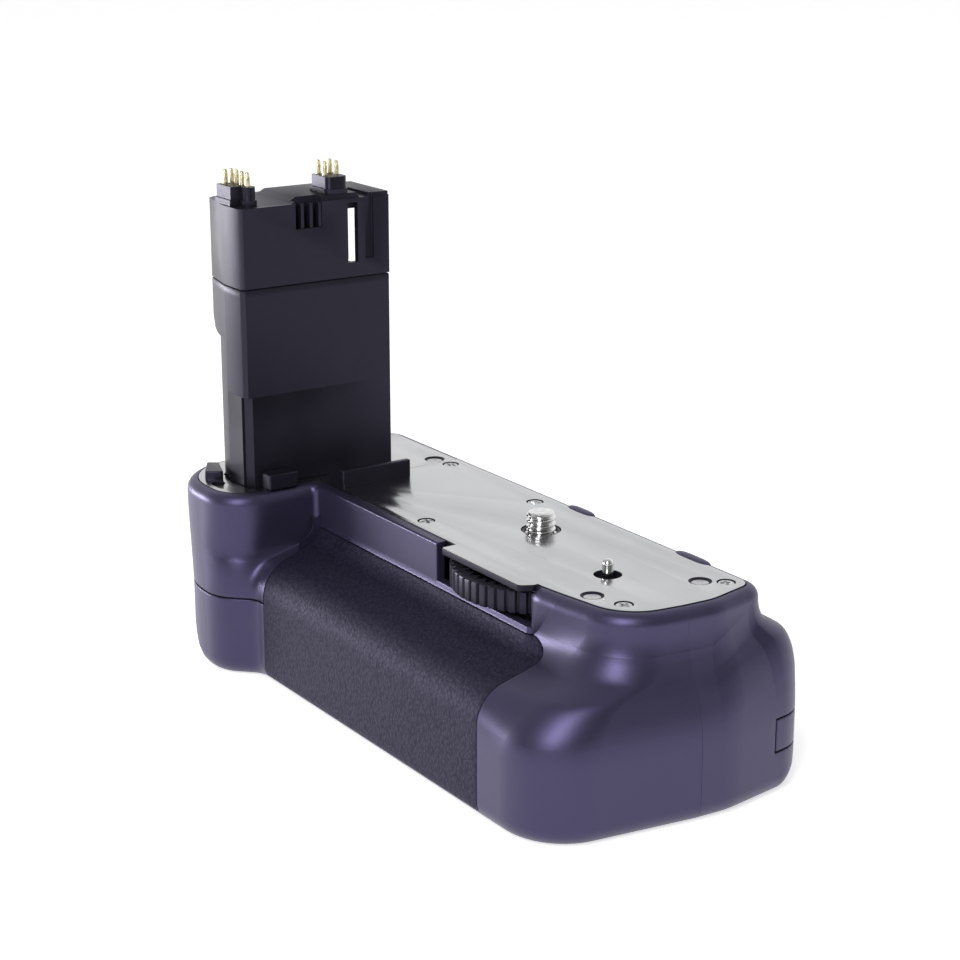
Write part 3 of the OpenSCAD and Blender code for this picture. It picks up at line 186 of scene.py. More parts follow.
HOUSING = moulded_abs()
LEATHER = leatherette()
PLATE = satin_plate()
# A near-black finish used as painted shade on the plates' steep faces, hole walls and dimples
STEEP_FACE_SHADE = smooth_abs("painted_shade_black", "#0c0c0f", "#141418", 0.5)
STALK = smooth_abs("moulded_black_abs", "#131318", "#18181e", 0.36)
CONTROL = smooth_abs("moulded_control_abs", "#1d1c22", "#26252c", 0.4)
INNER = smooth_abs("moulded_inner_abs", "#202022", "#29292c", 0.5)
BRIGHT = plated_metal("chromed_steel", "#c9c9c9", "#efefee", 0.16)
NICKEL = plated_metal("nickelled_steel", "#8d8d90", "#b5b5b6", 0.3)
DARK_STEEL = plated_metal("blackened_steel", "#3a3a3e", "#57575c", 0.34)
GOLD = plated_metal("gold_plated_brass", "#c4b98e", "#e2dcc2", 0.3)
CAST = plated_metal("cast_aluminium", "#8e8f93", "#a9aaad", 0.5)
BOARD = circuit_board()
FINISH_OF_SLOT = {"housing": HOUSING, "leatherette": LEATHER, "plate": PLATE, "stalk": STALK, "controls": CONTROL,
                  "inner_plastic": INNER, "frame_metal": CAST, "bright_metal": BRIGHT, "nickel": NICKEL,
                  "contact": GOLD, "board": BOARD}
BODY_OF = {n: b for b, ns in frame["record"]["behaviour"]["bodies"].items() for n in ns}
SLOT_OF = {p["node"]: p["material_slot"] for p in frame["record"]["subparts"]}

# Meshes


def dress(obj, node, finish=None, sharp=35.0):
    """A finished piece takes its node's body, slot and finish, and stands for it."""
    slot = SLOT_OF[node]
    obj.data.materials.clear()
    obj.data.materials.append(finish or FINISH_OF_SLOT[slot])
    obj.data.shade_smooth()
    obj.data.set_sharp_from_angle(angle=math.radians(sharp))
    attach(obj, BODY_OF[node])
    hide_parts(node)
    return obj


def piece(name, parts):
    """One object from parts of (points in millimetres, faces); doubles are merged and faces turned outwards."""
    mesh = bpy.data.meshes.new(name)
    points, faces, at = [], [], 0
    for p, f in parts:
        p = np.asarray(p, float).reshape(-1, 3)
        points.append(p)
        faces += [(np.asarray(q) + at).tolist() for q in f]
        at += len(p)
    mesh.from_pydata((np.concatenate(points) * MM).tolist(), [], faces)
    bm = bmesh.new()
    bm.from_mesh(mesh)
    bmesh.ops.remove_doubles(bm, verts=bm.verts, dist=2e-6)
    bmesh.ops.recalc_face_normals(bm, faces=bm.faces)
    bm.to_mesh(mesh)
    bm.free()
    obj = bpy.data.objects.new(name, mesh)
    bpy.context.scene.collection.objects.link(obj)
    return obj


def quads(rows, cols, closed):
    """Faces of a grid of rows by columns, joined round along the columns if closed."""
    i = np.arange(rows - 1)[:, None] * cols
    j = np.arange(cols if closed else cols - 1)[None, :]
    k = (j + 1) % cols
    return np.stack([i + j, i + k, i + cols + k, i + cols + j], -1).reshape(-1, 4)


AXES = {"z": [0, 1, 2], "x": [2, 0, 1], "y": [1, 2, 0]}


def full_turn(n):
    """Angles of one turn in n equal steps."""
    return np.linspace(0, 2 * np.pi, n, endpoint=False)


def rings(radii, heights, centre=(0, 0, 0), axis="z", turn=0.0):
    """Surface of rings round an axis: radius is a function of ring and angle, height a function of ring.
    radii has a row for each ring and a column for each angle, in equal steps of one turn."""
    radii = np.asarray(radii, float)
    angle = full_turn(radii.shape[1]) + turn
    heights = np.broadcast_to(np.asarray(heights, float).reshape(len(radii), -1), radii.shape)
    local = np.stack([radii * np.cos(angle), radii * np.sin(angle), heights], -1)
    points = local[..., AXES[axis]].reshape(-1, 3) + np.asarray(centre, float)
    return points, quads(*radii.shape, True)


def round_rows(profile, n):
    """Radii of plain round rings with n columns, one for each (radius, height) of a profile, and their heights."""
    profile = np.asarray(profile, float)
    return np.repeat(profile[:, :1], n, 1), profile[:, 1]


def lathe(profile, centre=(0, 0, 0), axis="z", n=64):
    """A profile of (radius, height) pairs carried round an axis."""
    return rings(*round_rows(profile, n), centre, axis)


def eased(profile, r, n=4):
    """A profile or path of points with every inner corner rounded to radius r where its sides are long enough."""
    p = np.asarray(profile, float)
    out = [p[:1]]
    for a, b, c in zip(p[:-2], p[1:-1], p[2:]):
        la, lc = np.linalg.norm(a - b), np.linalg.norm(c - b)
        d = min(r, 0.45 * la, 0.45 * lc)
        s, e = b + (a - b) * d / la, b + (c - b) * d / lc
        t = np.linspace(0, 1, n + 1)[:, None]
        out.append((1 - t) ** 2 * s + 2 * t * (1 - t) * b + t ** 2 * e)
    return np.concatenate(out + [p[-1:]])


def unit(v):
    """Vectors of length 1."""
    return v / np.linalg.norm(v, axis=-1, keepdims=True)


def corner_arc(before, corner, after, r, n):
    """Points round a corner of one outline, or of one in each row: an arc of radius r that touches both sides."""
    r = np.asarray(r, float)[..., None]
    a, b = unit(before - corner), unit(after - corner)
    half = np.arccos((a * b).sum(-1, keepdims=True)) / 2
    centre = corner + unit(a + b) * r / np.sin(half)
    start, end = (np.arctan2(v[..., 1], v[..., 0])
                  for v in (corner + side * r / np.tan(half) - centre for side in (a, b)))
    turn = (end - start + 3 * np.pi) % (2 * np.pi) - np.pi
    angle = start[..., None] + turn[..., None] * np.linspace(0, 1, n + 1)
    return centre[..., None, :] + r[..., None] * np.stack([np.cos(angle), np.sin(angle)], -1)


def corner_arcs(xy, radii, n):
    """The corners of a closed outline, or of one in each row, as arrays of points: arcs, or the corner itself."""
    count = xy.shape[-2]
    return [corner_arc(xy[..., k - 1, :], xy[..., k, :], xy[..., (k + 1) % count, :], radii[..., k], n)
            if np.any(radii[..., k]) else xy[..., k:k + 1, :] for k in range(count)]


def rounded(corners, n=5):
    """A closed outline of (x, y, radius) rows with its corners rounded, as one array of points."""
    corners = np.asarray(corners, float)
    return np.concatenate(corner_arcs(corners[:, :2], corners[:, 2], n))


def circle(centre, r, n=48):
    """Points of a circle in plan."""
    angle = full_turn(n)
    return np.asarray(centre, float) + r * np.stack([np.cos(angle), np.sin(angle)], -1)


def evened(line, step=0.7):
    """A line of points taken again at even steps along its length."""
    run = np.concatenate([[0], np.cumsum(np.linalg.norm(np.diff(line, axis=0), axis=1))])
    at = np.linspace(0, run[-1], max(2, round(run[-1] / step)))
    return np.stack([np.interp(at, run, line[:, 0]), np.interp(at, run, line[:, 1])], -1)


def sheet(loops, low, high, bevel):
    """A flat plate between two heights from an outline and its holes, all its edges rounded by bevel."""
    curve = bpy.data.curves.new("sheet", "CURVE")
    curve.dimensions, curve.fill_mode = "2D", "BOTH"
    curve.extrude, curve.bevel_depth, curve.bevel_resolution = (high - low) / 2 - bevel, bevel, 2
    curve.offset = -bevel
    for loop in loops:
        spline = curve.splines.new("POLY")
        spline.points.add(len(loop) - 1)
        flat = np.concatenate([loop, np.zeros((len(loop), 1)), np.ones((len(loop), 1))], 1)
        spline.points.foreach_set("co", flat.ravel())
        spline.use_cyclic_u = True
    obj = bpy.data.objects.new("sheet", curve)
    bpy.context.scene.collection.objects.link(obj)
    made = bpy.data.meshes.new_from_object(obj.evaluated_get(bpy.context.evaluated_depsgraph_get()))
    points = np.zeros(len(made.vertices) * 3)
    made.vertices.foreach_get("co", points)
    faces = [list(f.vertices) for f in made.polygons]
    bpy.data.objects.remove(obj)
    bpy.data.curves.remove(curve)
    bpy.data.meshes.remove(made)
    return points.reshape(-1, 3) + [0, 0, (low + high) / 2], faces


def softened(node, width):
    """The node's own solid with its sharp edges rounded: a copy of its mesh, merged into flat faces, with a bevel."""
    mesh = frame["nodes"][node].data.copy()
    bm = bmesh.new()
    bm.from_mesh(mesh)
    bmesh.ops.remove_doubles(bm, verts=bm.verts, dist=2e-6)
    bmesh.ops.dissolve_limit(bm, angle_limit=math.radians(1), verts=bm.verts, edges=bm.edges)
    bm.to_mesh(mesh)
    bm.free()
    obj = bpy.data.objects.new("soft_" + node, mesh)
    bpy.context.scene.collection.objects.link(obj)
    bevel = obj.modifiers.new("edges", "BEVEL")
    bevel.width, bevel.segments = width * MM, 2
    bevel.limit_method, bevel.angle_limit = "ANGLE", math.radians(32)
    dress(obj, node)


# Housing: the outline at the rim is carried down to the outline at the belly, as in the part's source

BODY_H, WALL, BOTTOM_R, LIFT = 43.5, 2.0, 4.0, 5.6
FRONT, FRONT_TOP, REAR, REAR_TOP = 40.8, 23.4, 25.5, 17.4  # how far belly and rim reach to the front and the rear
SHOULDER, HOLLOW_R, ROUND_R, SHELF = 8.5, 5.0, 8.0, math.radians(74)
RIM_ROUND, WALL_ROUND, PANEL_Z, GAP, RUN = 2.6, 0.5, 9.8, 0.2, 0.3
SOFT_TOP, SOFT_Z = RIM_ROUND + 0.6, 27.5
STEP = FRONT - FRONT_TOP
SHELF_RUN = STEP - (HOLLOW_R + ROUND_R) * (1 - math.cos(SHELF))
BELLY_Z = SHOULDER + (HOLLOW_R + ROUND_R) * math.sin(SHELF) + SHELF_RUN / math.tan(SHELF)
SEAM_Z = BELLY_Z + 1.014
FLAP_Z0, WINDOW_Z1 = SEAM_Z + 2.5, BODY_H - BOTTOM_R - 0.7
FLAP_Z1 = FLAP_Z0 + 0.575 * (WINDOW_Z1 - FLAP_Z0)


def flap_edges(a, b, y0, y1):
    """The cord flap's front edge and the wall's edge before it, on the line from a to b."""
    return [[a[0] + (b[0] - a[0]) * (y - a[1]) / (b[1] - a[1]), y, 0, 0] for y in (y0, y1)]


def rear_edges(y):
    """Edges of the cord flap, the magazine door and the rear control plate along the straight rear."""
    return [[x, y, 0, 0] for x in (48.5, 48.2, 46.3, 46, -46, -46.3, -52.5, -78)]


# Corners of the two outlines: x, y, radius and how far the bottom's round swells there. The same corner has the same
# number in both.
RIM = np.array([
    [-88, 9.5, 0, 0], [-88, 9.2, 0, 0], [-88, -26, 0, 0], [-88, -47.3, 17.7, 0], [-55.8, -47.3, 10.5, 0],
    [-56.2, -23.4, 1.4, 0], [-54.7, -23.4, 0, 0], [-54.5, -23.4, 0, 0], [-5.2, -23.4, 0, 0], [28.6, -23.6, 0, 0],
    [36, -22.7, 0, 0], [36.2, -22.7, 0, 0], [54.8, -19.8, 13, 0], [56.6, -5, 0, 0], [57, 3, 14, 0],
    *flap_edges((57, 3), (53.5, REAR_TOP), 11.2, 11.5), [53.5, REAR_TOP, 6, 0], *rear_edges(REAR_TOP),
    [-88, REAR_TOP, 6, 0]])
BELLY = np.array([
    [-88, 15.9, 0, 0], [-88, 15, 0, 0], [-88, -26, 0, 0], [-88, -47.8, 21, 7], [-61.3, -47.8, 10, 0],
    [-54.6, -40.8, 4, 0], [-51.2, -40.8, 0, 0], [-51, -40.8, 0, 0], [-5.2, -40.8, 0, 0], [28.6, -40.8, 0, 0],
    [36, -40.8, 0, 0], [36.2, -40.8, 0, 0], [57.1, -40.8, 15, 0], [61.9, -5, 0, 0], [62.3, 3, 24, 0],
    *flap_edges((62.3, 3), (58.7, REAR), 15.3, 15.6), [58.7, REAR, 9, 2], *rear_edges(REAR), [-88, REAR, 8, 3]])
FLANK, CREASE, SKIN_L, SKIN_IN, SLOT_L, SLOT_R, SKIN_R, TURN_R, PART_R, APEX = 4, 5, 6, 7, 8, 9, 10, 12, 13, 14
FLAP_F, FLAP_IN, FLAP_B, DOOR_R, DOOR_IN, DOOR_L, DOOR_END = 15, 16, 18, 20, 21, 22, 23
PLATE_R, PLATE_L, TURN_L = 24, 25, 26
ARC = 14  # steps round each corner


def spaced(length, step=1.6):
    """Fractions from 0 up to 1, without 1, along a run: even steps, and close ones at both ends for its edges."""
    if length < 0.7:
        return np.zeros(1)
    close = np.array([0.0, 0.05, 0.12, 0.2, 0.3])
    inner = np.linspace(0.3, length - 0.3, max(2, round(length / step)))[1:-1]
    return np.concatenate([close, inner, length - close[:0:-1]]) / length


def profile_rows():
    """Rows of the upright profile, each the share from rim to belly, the part of the rim's radius it is drawn in, the
    height, the share of lift and the part of the rim's radius it drops: rim round, wall, hollow, shelf, round, belly
    and bottom round. Also the row where each named level lies."""
    def row(share, inset, z, lift, drop):
        """Rows from values or arrays of them."""
        return np.stack(np.broadcast_arrays(share, inset, z, lift, drop), -1)

    def rim_at(a):
        """The rim's round, a quarter circle."""
        return row(0 * a, 1 - np.sin(a), -0.2, 0, 1 - np.cos(a))

    def hollow_at(a):
        """The arc that turns the wall out into the shelf."""
        return row(HOLLOW_R * (1 - np.cos(a)) / STEP, 0, -SHOULDER - HOLLOW_R * np.sin(a), 1, 0)

    def round_at(a):
        """The arc that turns the shelf down into the belly."""
        return row(1 - ROUND_R * (1 - np.cos(a)) / STEP, 0, -BELLY_Z + ROUND_R * np.sin(a), 1, 0)

    def bottom_at(a):
        """The bottom edge's round."""
        return row(1, 0, -BODY_H + BOTTOM_R * (1 - np.sin(a)), 0, 0)

    def belly_at(z, lift=0.0):
        """One row of the belly's upright wall."""
        return np.array([1.0, 0.0, -z, lift, 0.0])

    def curve(at, a, b, length, step=0.9):
        """Spaced rows along an arc from angle a to b."""
        return at(a + (b - a) * spaced(length, step))

    def straight(a, b):
        """Spaced rows from row a to row b."""
        return a + (b - a) * spaced(max(abs(b[2] - a[2]) - RIM_ROUND * a[4], (b[0] - a[0]) * STEP))[:, None]

    def at_depth(z):
        """The hollow's angle at a depth."""
        return math.asin((z - SHOULDER) / HOLLOW_R)

    one = np.array([0.0])
    quarter = math.pi / 2
    levels = (SEAM_Z, SEAM_Z + GAP, FLAP_Z0 - RUN, FLAP_Z0, FLAP_Z1, FLAP_Z1 + RUN, WINDOW_Z1)
    belly = [belly_at(BELLY_Z + 0.3, 0.4), belly_at(BELLY_Z + 0.3 + RUN, 0.4), *map(belly_at, levels),
             bottom_at(one)[0]]
    names = ["door", "door_in", "seam", "cap", "window", "flap", "flap_end", "flap_out", "window_end", "bottom"]
    runs = [("top", rim_at(np.linspace(math.asin(0.2 / RIM_ROUND), quarter, 12)[:-1])),
            ("wall", straight(rim_at(one + quarter)[0], hollow_at(one)[0])),
            ("shoulder", curve(hollow_at, 0, at_depth(PANEL_Z), 1.3)),
            ("skin", curve(hollow_at, at_depth(PANEL_Z), at_depth(PANEL_Z + GAP), 0.2)),
            ("skin_in", curve(hollow_at, at_depth(PANEL_Z + GAP), SHELF, 4.9, 0.5)),
            ("shelf", straight(hollow_at(one + SHELF)[0], round_at(one + SHELF)[0])),
            ("round", curve(round_at, SHELF, 0, 10.3)),
            ("belly", straight(round_at(one)[0], belly[0]))]
    runs += [(name, straight(a, b)) for name, a, b in zip(names, belly[:-1], belly[1:])]
    runs += [("bottom", curve(bottom_at, 0, quarter / 3, 2.1, 0.5)),
             ("skin_end", curve(bottom_at, quarter / 3, quarter, 4.2, 0.5)), ("base", bottom_at(one + quarter))]
    starts = np.cumsum([0] + [len(r) for _, r in runs])
    return np.concatenate([r for _, r in runs]), {name: int(k) for (name, _), k in zip(runs, starts)}


def drawn_in(line, inset):
    """Closed outlines drawn in along their normals in plan."""
    along = unit(np.roll(line, -1, -2) - np.roll(line, 1, -2))
    return line + np.stack([-along[..., 1], along[..., 0]], -1) * inset[..., None]


def soft_share(z):
    """Share from rim to belly at each height: a straight slope of height over rise, eased at both ends by parabolas
    that take e of the rise each."""
    e = 0.32
    t = np.clip((-z - SOFT_TOP) / (SOFT_Z - SOFT_TOP), 0, 1)
    q = np.minimum(t, 1 - t)
    x = np.where(q < e, q * q / (2 * e), q - e / 2) / (1 - e)
    return np.where(t < 0.5, x, 1 - x)


def corner_traits():
    """For each corner of the outline, its softness along X and Y; at the start and end of its arc, its lift, bottom
    radius and rim radius."""
    soft = np.zeros((len(RIM), 2))
    soft[FLANK - 1:FLANK + 1], soft[CREASE], soft[TURN_R], soft[PART_R:APEX + 1] = 1, (1, 0), (0.9, 0.95), 0.95
    soft[APEX], soft[FLAP_F:FLAP_B - 1], soft[FLAP_B - 1] = 0.8, 0.5, (0.25, 0)
    ends = np.array([[0, 0, BOTTOM_R, BOTTOM_R, RIM_ROUND, RIM_ROUND]] * len(RIM), float)
    ends[FLAP_B - 1:TURN_L, 0:2], ends[TURN_L, 0] = LIFT, LIFT
    ends[APEX, 1], ends[FLAP_F:FLAP_B - 1, 0:2] = 0.4 * LIFT, 0.7 * LIFT
    ends[CREASE, 5], ends[SKIN_L:SLOT_L + 1, 4:6] = WALL_ROUND, WALL_ROUND
    return soft, ends


def plan_columns():
    """The outline in plan at every row: its corners lie between those of rim and belly by the row's share, blended
    with the soft share, and are joined by arcs and spaced points. Also each column's traits and each corner's first
    column."""
    soft, ends = corner_traits()
    hard, z, rise = ROWS[:, 0, None], ROWS[:, 2, None], ROWS[:, 3, None]
    gentle = soft_share(z + rise * ends[:, 0])
    share = hard[..., None] + soft * (gentle - hard)[..., None]
    corners = RIM[:, :2] * (1 - share) + BELLY[:, :2] * share
    mean = share.mean(-1)
    radii = RIM[:, 2] * (1 - mean) + BELLY[:, 2] * mean
    arcs = corner_arcs(corners, radii, ARC)
    lines, traits, first, at = [], [], [], 0
    for k, arc in enumerate(arcs):
        n = (k + 1) % len(RIM)
        run = arcs[n][:, :1] - arc[:, -1:]
        along = spaced(np.linalg.norm(run[-1]))[1:, None]
        way = np.linspace(0, 1, arc.shape[1])[:, None] if arc.shape[1] > 1 else np.ones((1, 1))
        swell = np.array([0, BELLY[k, 3], 0]) * np.sin(np.pi * way) ** 2
        lines += [arc, arc[:, -1:] + run * along]
        traits += [ends[k, 0::2] * (1 - way) + ends[k, 1::2] * way + swell,
                   ends[k, 1::2] * (1 - along) + ends[n, 0::2] * along]
        first.append(at)
        at += len(way) + len(along)
    return np.concatenate(lines, 1), *np.concatenate(traits).T, first


ROWS, ROW = profile_rows()
LINES, LIFTS, EDGES, RIM_EDGE, COL = plan_columns()
RIM_LINE = LINES[0]
COLS = len(RIM_LINE)


def tip_shift(skin):
    """How far points move left along the surface so that the leather's top right corner becomes a round:
    R - sqrt(R^2 - (R - t)^2), t being the way down from the leather's top edge, less away from that corner."""
    r = 6.0
    down = np.linalg.norm(np.diff(skin[:, COL[SKIN_R]], axis=0), axis=-1)
    run = np.concatenate([[0], np.cumsum(down)])
    t = np.clip(run - run[ROW["skin_in"]], 0, r)
    shift = r - np.sqrt(r * r - (r - t) ** 2)
    shift *= np.clip((run - run[ROW["wall"]]) / (run[ROW["skin"]] - run[ROW["wall"]]), 0, 1)
    x = RIM_LINE[:, 0]
    a, b, c = x[COL[SLOT_R]], x[COL[SKIN_R]], x[COL[TURN_R]]
    weight = np.clip(np.minimum((x - a) / (b - a), (c - x) / (c - b - GAP)), 0, 1)
    weight[COL[TURN_R]:] = 0
    weight[:COL[SLOT_R]] = 0
    return shift[:, None] * weight


def housing_skin():
    """The housing's outer surface: every row's outline drawn in by the row's inset and by the bottom edge's round, and
    lifted at the rear. Also its outward normals."""
    inset, z, rise, fall = (ROWS[:, i, None] for i in range(1, 5))
    height = z + LIFTS * rise
    drop = np.maximum(0, EDGES - BODY_H - z)
    line = drawn_in(LINES, inset * RIM_EDGE + EDGES - np.sqrt(np.maximum(0, EDGES ** 2 - drop ** 2)))
    skin = np.concatenate([line, (height - fall * RIM_EDGE)[..., None]], -1)
    skin[..., 0] -= tip_shift(skin)
    plan = np.concatenate([LINES, skin[..., 2:]], -1)
    along = np.roll(plan, -1, 1) - np.roll(plan, 1, 1)
    down = np.concatenate([skin[1:], skin[-1:]]) - np.concatenate([skin[:1], skin[:-1]])
    normal = unit(np.cross(down, along))
    normal[-1] = (0, 0, -1)
    return skin, normal


SKIN, NORMAL = housing_skin()
RIM_INSIDE = drawn_in(RIM_LINE, np.full(COLS, RIM_ROUND - 0.2))
EDGE_R, SEAM_R, PILLAR_R = 0.28, 0.07, 1.8


def edge_drop(points, border, r):
    """How far each point sinks to round the piece's edges: r - sqrt(r^2 - (r - t)^2), t being the distance along
    the grid to the nearest border point."""
    near = np.full(border.shape, np.inf)
    for axis in (0, 1):
        p, b = (points, border) if axis == 0 else (points.swapaxes(0, 1), border.T)
        run = np.concatenate([np.zeros((1, p.shape[1])), np.cumsum(np.linalg.norm(np.diff(p, axis=0), axis=-1), 0)])
        before = np.maximum.accumulate(np.where(b, run, -np.inf), 0)
        after = np.minimum.accumulate(np.where(b, run, np.inf)[::-1], 0)[::-1]
        t = np.minimum(run - before, after - run)
        near = np.minimum(near, t if axis == 0 else t.T)
    t = np.minimum(near, r)
    return r - np.sqrt(r ** 2 - (r - t) ** 2)


def wall_patch(cols, rows, depth, cut=(), recess=None):
    """A closed piece of the housing's wall: a range of columns and rows of its surface, less the cells in cut, from
    the surface to the given depth, with its edges rounded. recess sinks a window of it."""
    c = np.arange(cols[0], cols[1] + 1)
    r = np.arange(rows[0], rows[1] + 1)
    keep = np.ones((len(r) - 1, len(c) - 1), bool)
    for c0, c1, r0, r1 in cut:
        keep[max(0, r0 - r[0]):max(0, r1 - r[0]), max(0, c0 - c[0]):max(0, c1 - c[0])] = False
    outer, normal = SKIN[r][:, c % COLS], NORMAL[r][:, c % COLS]
    inner = outer - depth * normal
    rim = r < ROW["wall"]
    inner[rim, :, :2] = RIM_INSIDE[c % COLS]
    inner[rim, :, 2] = outer[rim, :, 2]
    sink = np.zeros(outer.shape[:2])
    if recess:
        c0, c1, r0, r1, down = recess
        sink[r0 - r[0]:r1 - r[0] + 1, c0 - c[0]:c1 - c[0] + 1] = down
    padded = np.pad(keep, 1)
    around = [padded[:-1, :-1], padded[:-1, 1:], padded[1:, :-1], padded[1:, 1:]]
    border = np.logical_or.reduce(around) & ~np.logical_and.reduce(around)
    if rows[0] == 0:
        border[0] = False
    seam = border & np.isin(c % COLS, [0, COL[PART_R]]) & (rows[0] == 0)
    pillar = border & (c == COL[SLOT_R]) & (r[:, None] < ROW["shoulder"])
    edges = [(border & ~seam & ~pillar, EDGE_R), (seam, SEAM_R), (pillar, PILLAR_R)]
    sink += np.max([edge_drop(outer, mask, size) for mask, size in edges], axis=0)
    outer = outer - sink[..., None] * normal
    index = np.arange(outer.shape[0] * outer.shape[1]).reshape(outer.shape[:2])
    total = index.size
    a, b, d, e = index[:-1, :-1], index[:-1, 1:], index[1:, 1:], index[1:, :-1]
    faces = [np.stack([a, e, d, b], -1)[keep], np.stack([a, b, d, e], -1)[keep] + total]
    for p, q, other in ((a, b, padded[:-2, 1:-1]), (b, d, padded[1:-1, 2:]),
                        (d, e, padded[2:, 1:-1]), (e, a, padded[1:-1, :-2])):
        side = keep & ~other
        faces.append(np.stack([p, q, q + total, p + total], -1)[side])
    faces = np.concatenate(faces)
    used, faces = np.unique(faces, return_inverse=True)
    points = np.concatenate([outer.reshape(-1, 3), inner.reshape(-1, 3)])[used]
    return points, faces.reshape(-1, 4)


LAST = len(ROWS) - 1
WINDOW = (ROW["window"], ROW["window_end"])
dress(piece("front_moulding", [wall_patch(
    (0, COL[PART_R]), (0, LAST), WALL,
    [(0, COL[SKIN_IN], ROW["seam"], LAST), (COL[SLOT_L], COL[SLOT_R], 0, ROW["shoulder"])],
    (COL[SKIN_IN], COL[SKIN_R], ROW["skin_in"], ROW["skin_end"], 0.85))]), "front_shell")
dress(piece("rear_moulding", [wall_patch(
    (COL[PART_R], COLS), (0, LAST), WALL,
    [(COL[DOOR_R], COL[DOOR_END], ROW["door"], LAST), (COL[FLAP_F], COL[FLAP_B + 1], ROW["window"], ROW["flap_out"]),
     (COL[PLATE_R], COL[PLATE_L], *WINDOW)])]), "rear_shell")
dress(piece("control_cap_moulding", [wall_patch(
    (0, COL[SKIN_L]), (ROW["cap"], LAST), WALL, [(COL[1], COL[2], *WINDOW)])]), "control_cap")
dress(piece("leather_panel", [wall_patch((COL[SKIN_IN], COL[SKIN_R]), (ROW["skin_in"], ROW["skin_end"]), 0.8)]),
      "grip_panel")
dress(piece("magazine_door_moulding", [wall_patch(
    (COL[DOOR_IN], COL[DOOR_L]), (ROW["door_in"], LAST), WALL)]), "magazine_door")
dress(piece("cord_flap_moulding", [wall_patch(
    (COL[FLAP_IN], COL[FLAP_B]), (ROW["flap"], ROW["flap_end"]), 1.5)]), "cord_flap")

# Plate, deck and base: flat sheets with holes, in two layers where a hole is blind

PLATE_T, UPPER_T, LAP, SEAM_X, PLATE_FRONT = 2.2, 1.4, 0.04, -55.3, -20.9
PLATE_SCREWS = np.array([[47.3, -13.8], [48.4, 11.1], [-17, 10.4], [-18.9, -17.2], [-52.6, 11.1]])
DIMPLES, DECK_DIMPLE, DIMPLE_R = np.array([[39.8, -15.9], [45, 7.2]]), (-58.6, 10.4), 2.35
PIN_AT = np.array([31.5, -5.8])
INNER_LINE = drawn_in(RIM_LINE, np.full(COLS, RIM_ROUND - 0.2 + GAP))


def top_plate():
    """The plate with its visor over the wheel: an outline along the rim's inside, with its holes."""
    right = INNER_LINE[COL[SKIN_R] + 2:COL[FLAP_B] + 1]
    right = evened(right[right[:, 0] > 30.2])
    visor = rounded([[-1.6, -19, 0], [-1.6, -24.6, 0.8], [27, -24.6, 1.6], [28.4, -21.9, 1.2], [28.4, -19, 0]])[1:-1]
    front = [[SEAM_X, PLATE_FRONT], [-1.6, PLATE_FRONT]]
    back = [[SEAM_X, REAR_TOP - RIM_ROUND]]
    over = np.concatenate([front, visor, [[28.4, PLATE_FRONT], [29.6, PLATE_FRONT]], right, back])
    under = np.concatenate([front[:1], [[29.6, PLATE_FRONT]], right, back])
    heads = [circle(p, 1.9) for p in PLATE_SCREWS]
    dimples = [circle(p, DIMPLE_R) for p in DIMPLES]
    shanks = [circle(p, 1) for p in PLATE_SCREWS]
    screw = circle((0, 0), 4.3)
    return [sheet([over, screw, circle(PIN_AT, 2.875), *heads, *dimples], -UPPER_T, 0, 0.16),
            sheet([under, screw, circle(PIN_AT, 1.46), *shanks], -PLATE_T, LAP - UPPER_T, 0.02),
            *(dish(p, 0) for p in DIMPLES)]


def dish(at, top):
    """A shallow round dish in a plate: part of a sphere, as a profile round its axis, closed below."""
    depth, low = 0.8, top - UPPER_T + LAP / 2
    big = (DIMPLE_R ** 2 + depth ** 2) / (2 * depth)
    a = np.linspace(math.asin(DIMPLE_R / big), 0.0005, 12)
    bowl = np.stack([big * np.sin(a), top - 0.03 - depth + big * (1 - np.cos(a))], -1)
    return lathe(np.concatenate([[[0.001, low], [DIMPLE_R, low]], bowl]), (*at, 0), n=56)


def paint_steep_faces_shaded(obj):
    """Painted shade: faces that stand upright or steeply, the sheet's edges and the walls of its holes and dimples,
    take a near-black finish that stands in for the shade and dark reflections in them.
    """
    mesh = obj.data
    mesh.materials.append(STEEP_FACE_SHADE)
    normals = np.zeros(len(mesh.polygons) * 3)
    mesh.polygons.foreach_get("normal", normals)
    mesh.polygons.foreach_set("material_index", (np.abs(normals[2::3]) < 0.9).astype(np.int32))


# The plate's edges, hole walls and dimples are drawn near-black as painted shade
paint_steep_faces_shaded(dress(piece("steel_plate", top_plate()), "top_plate", sharp=25))

STALK_X, STALK_W, STALK_LOW, STALK_FRONT, STALK_BACK = -61.8, 20.2, 13.8, -38.0, 0.4
FACET_X, FACET, CHAMFER, LIP_Z = 8.6, math.tan(math.radians(12)), 1.4, 21.0


def stalk_plan(width, grow, cut, r):
    """Plan of the stalk at one width: corners of (x, y, radius), from the back right corner round the left."""
    left = STALK_X - width
    return np.array([
        [STALK_X + grow, STALK_BACK + grow, r], [left - grow, STALK_BACK + grow, r],
        [left - grow, STALK_FRONT + (width - FACET_X) * FACET + 1.25 * cut - grow, r],
        [left + cut - grow, STALK_FRONT + (width - FACET_X - cut) * FACET - grow, r],
        [STALK_X - FACET_X, STALK_FRONT - grow, r], [STALK_X - CHAMFER, STALK_FRONT - grow, r],
        [STALK_X + grow, STALK_FRONT + CHAMFER / 2 - grow, r]])


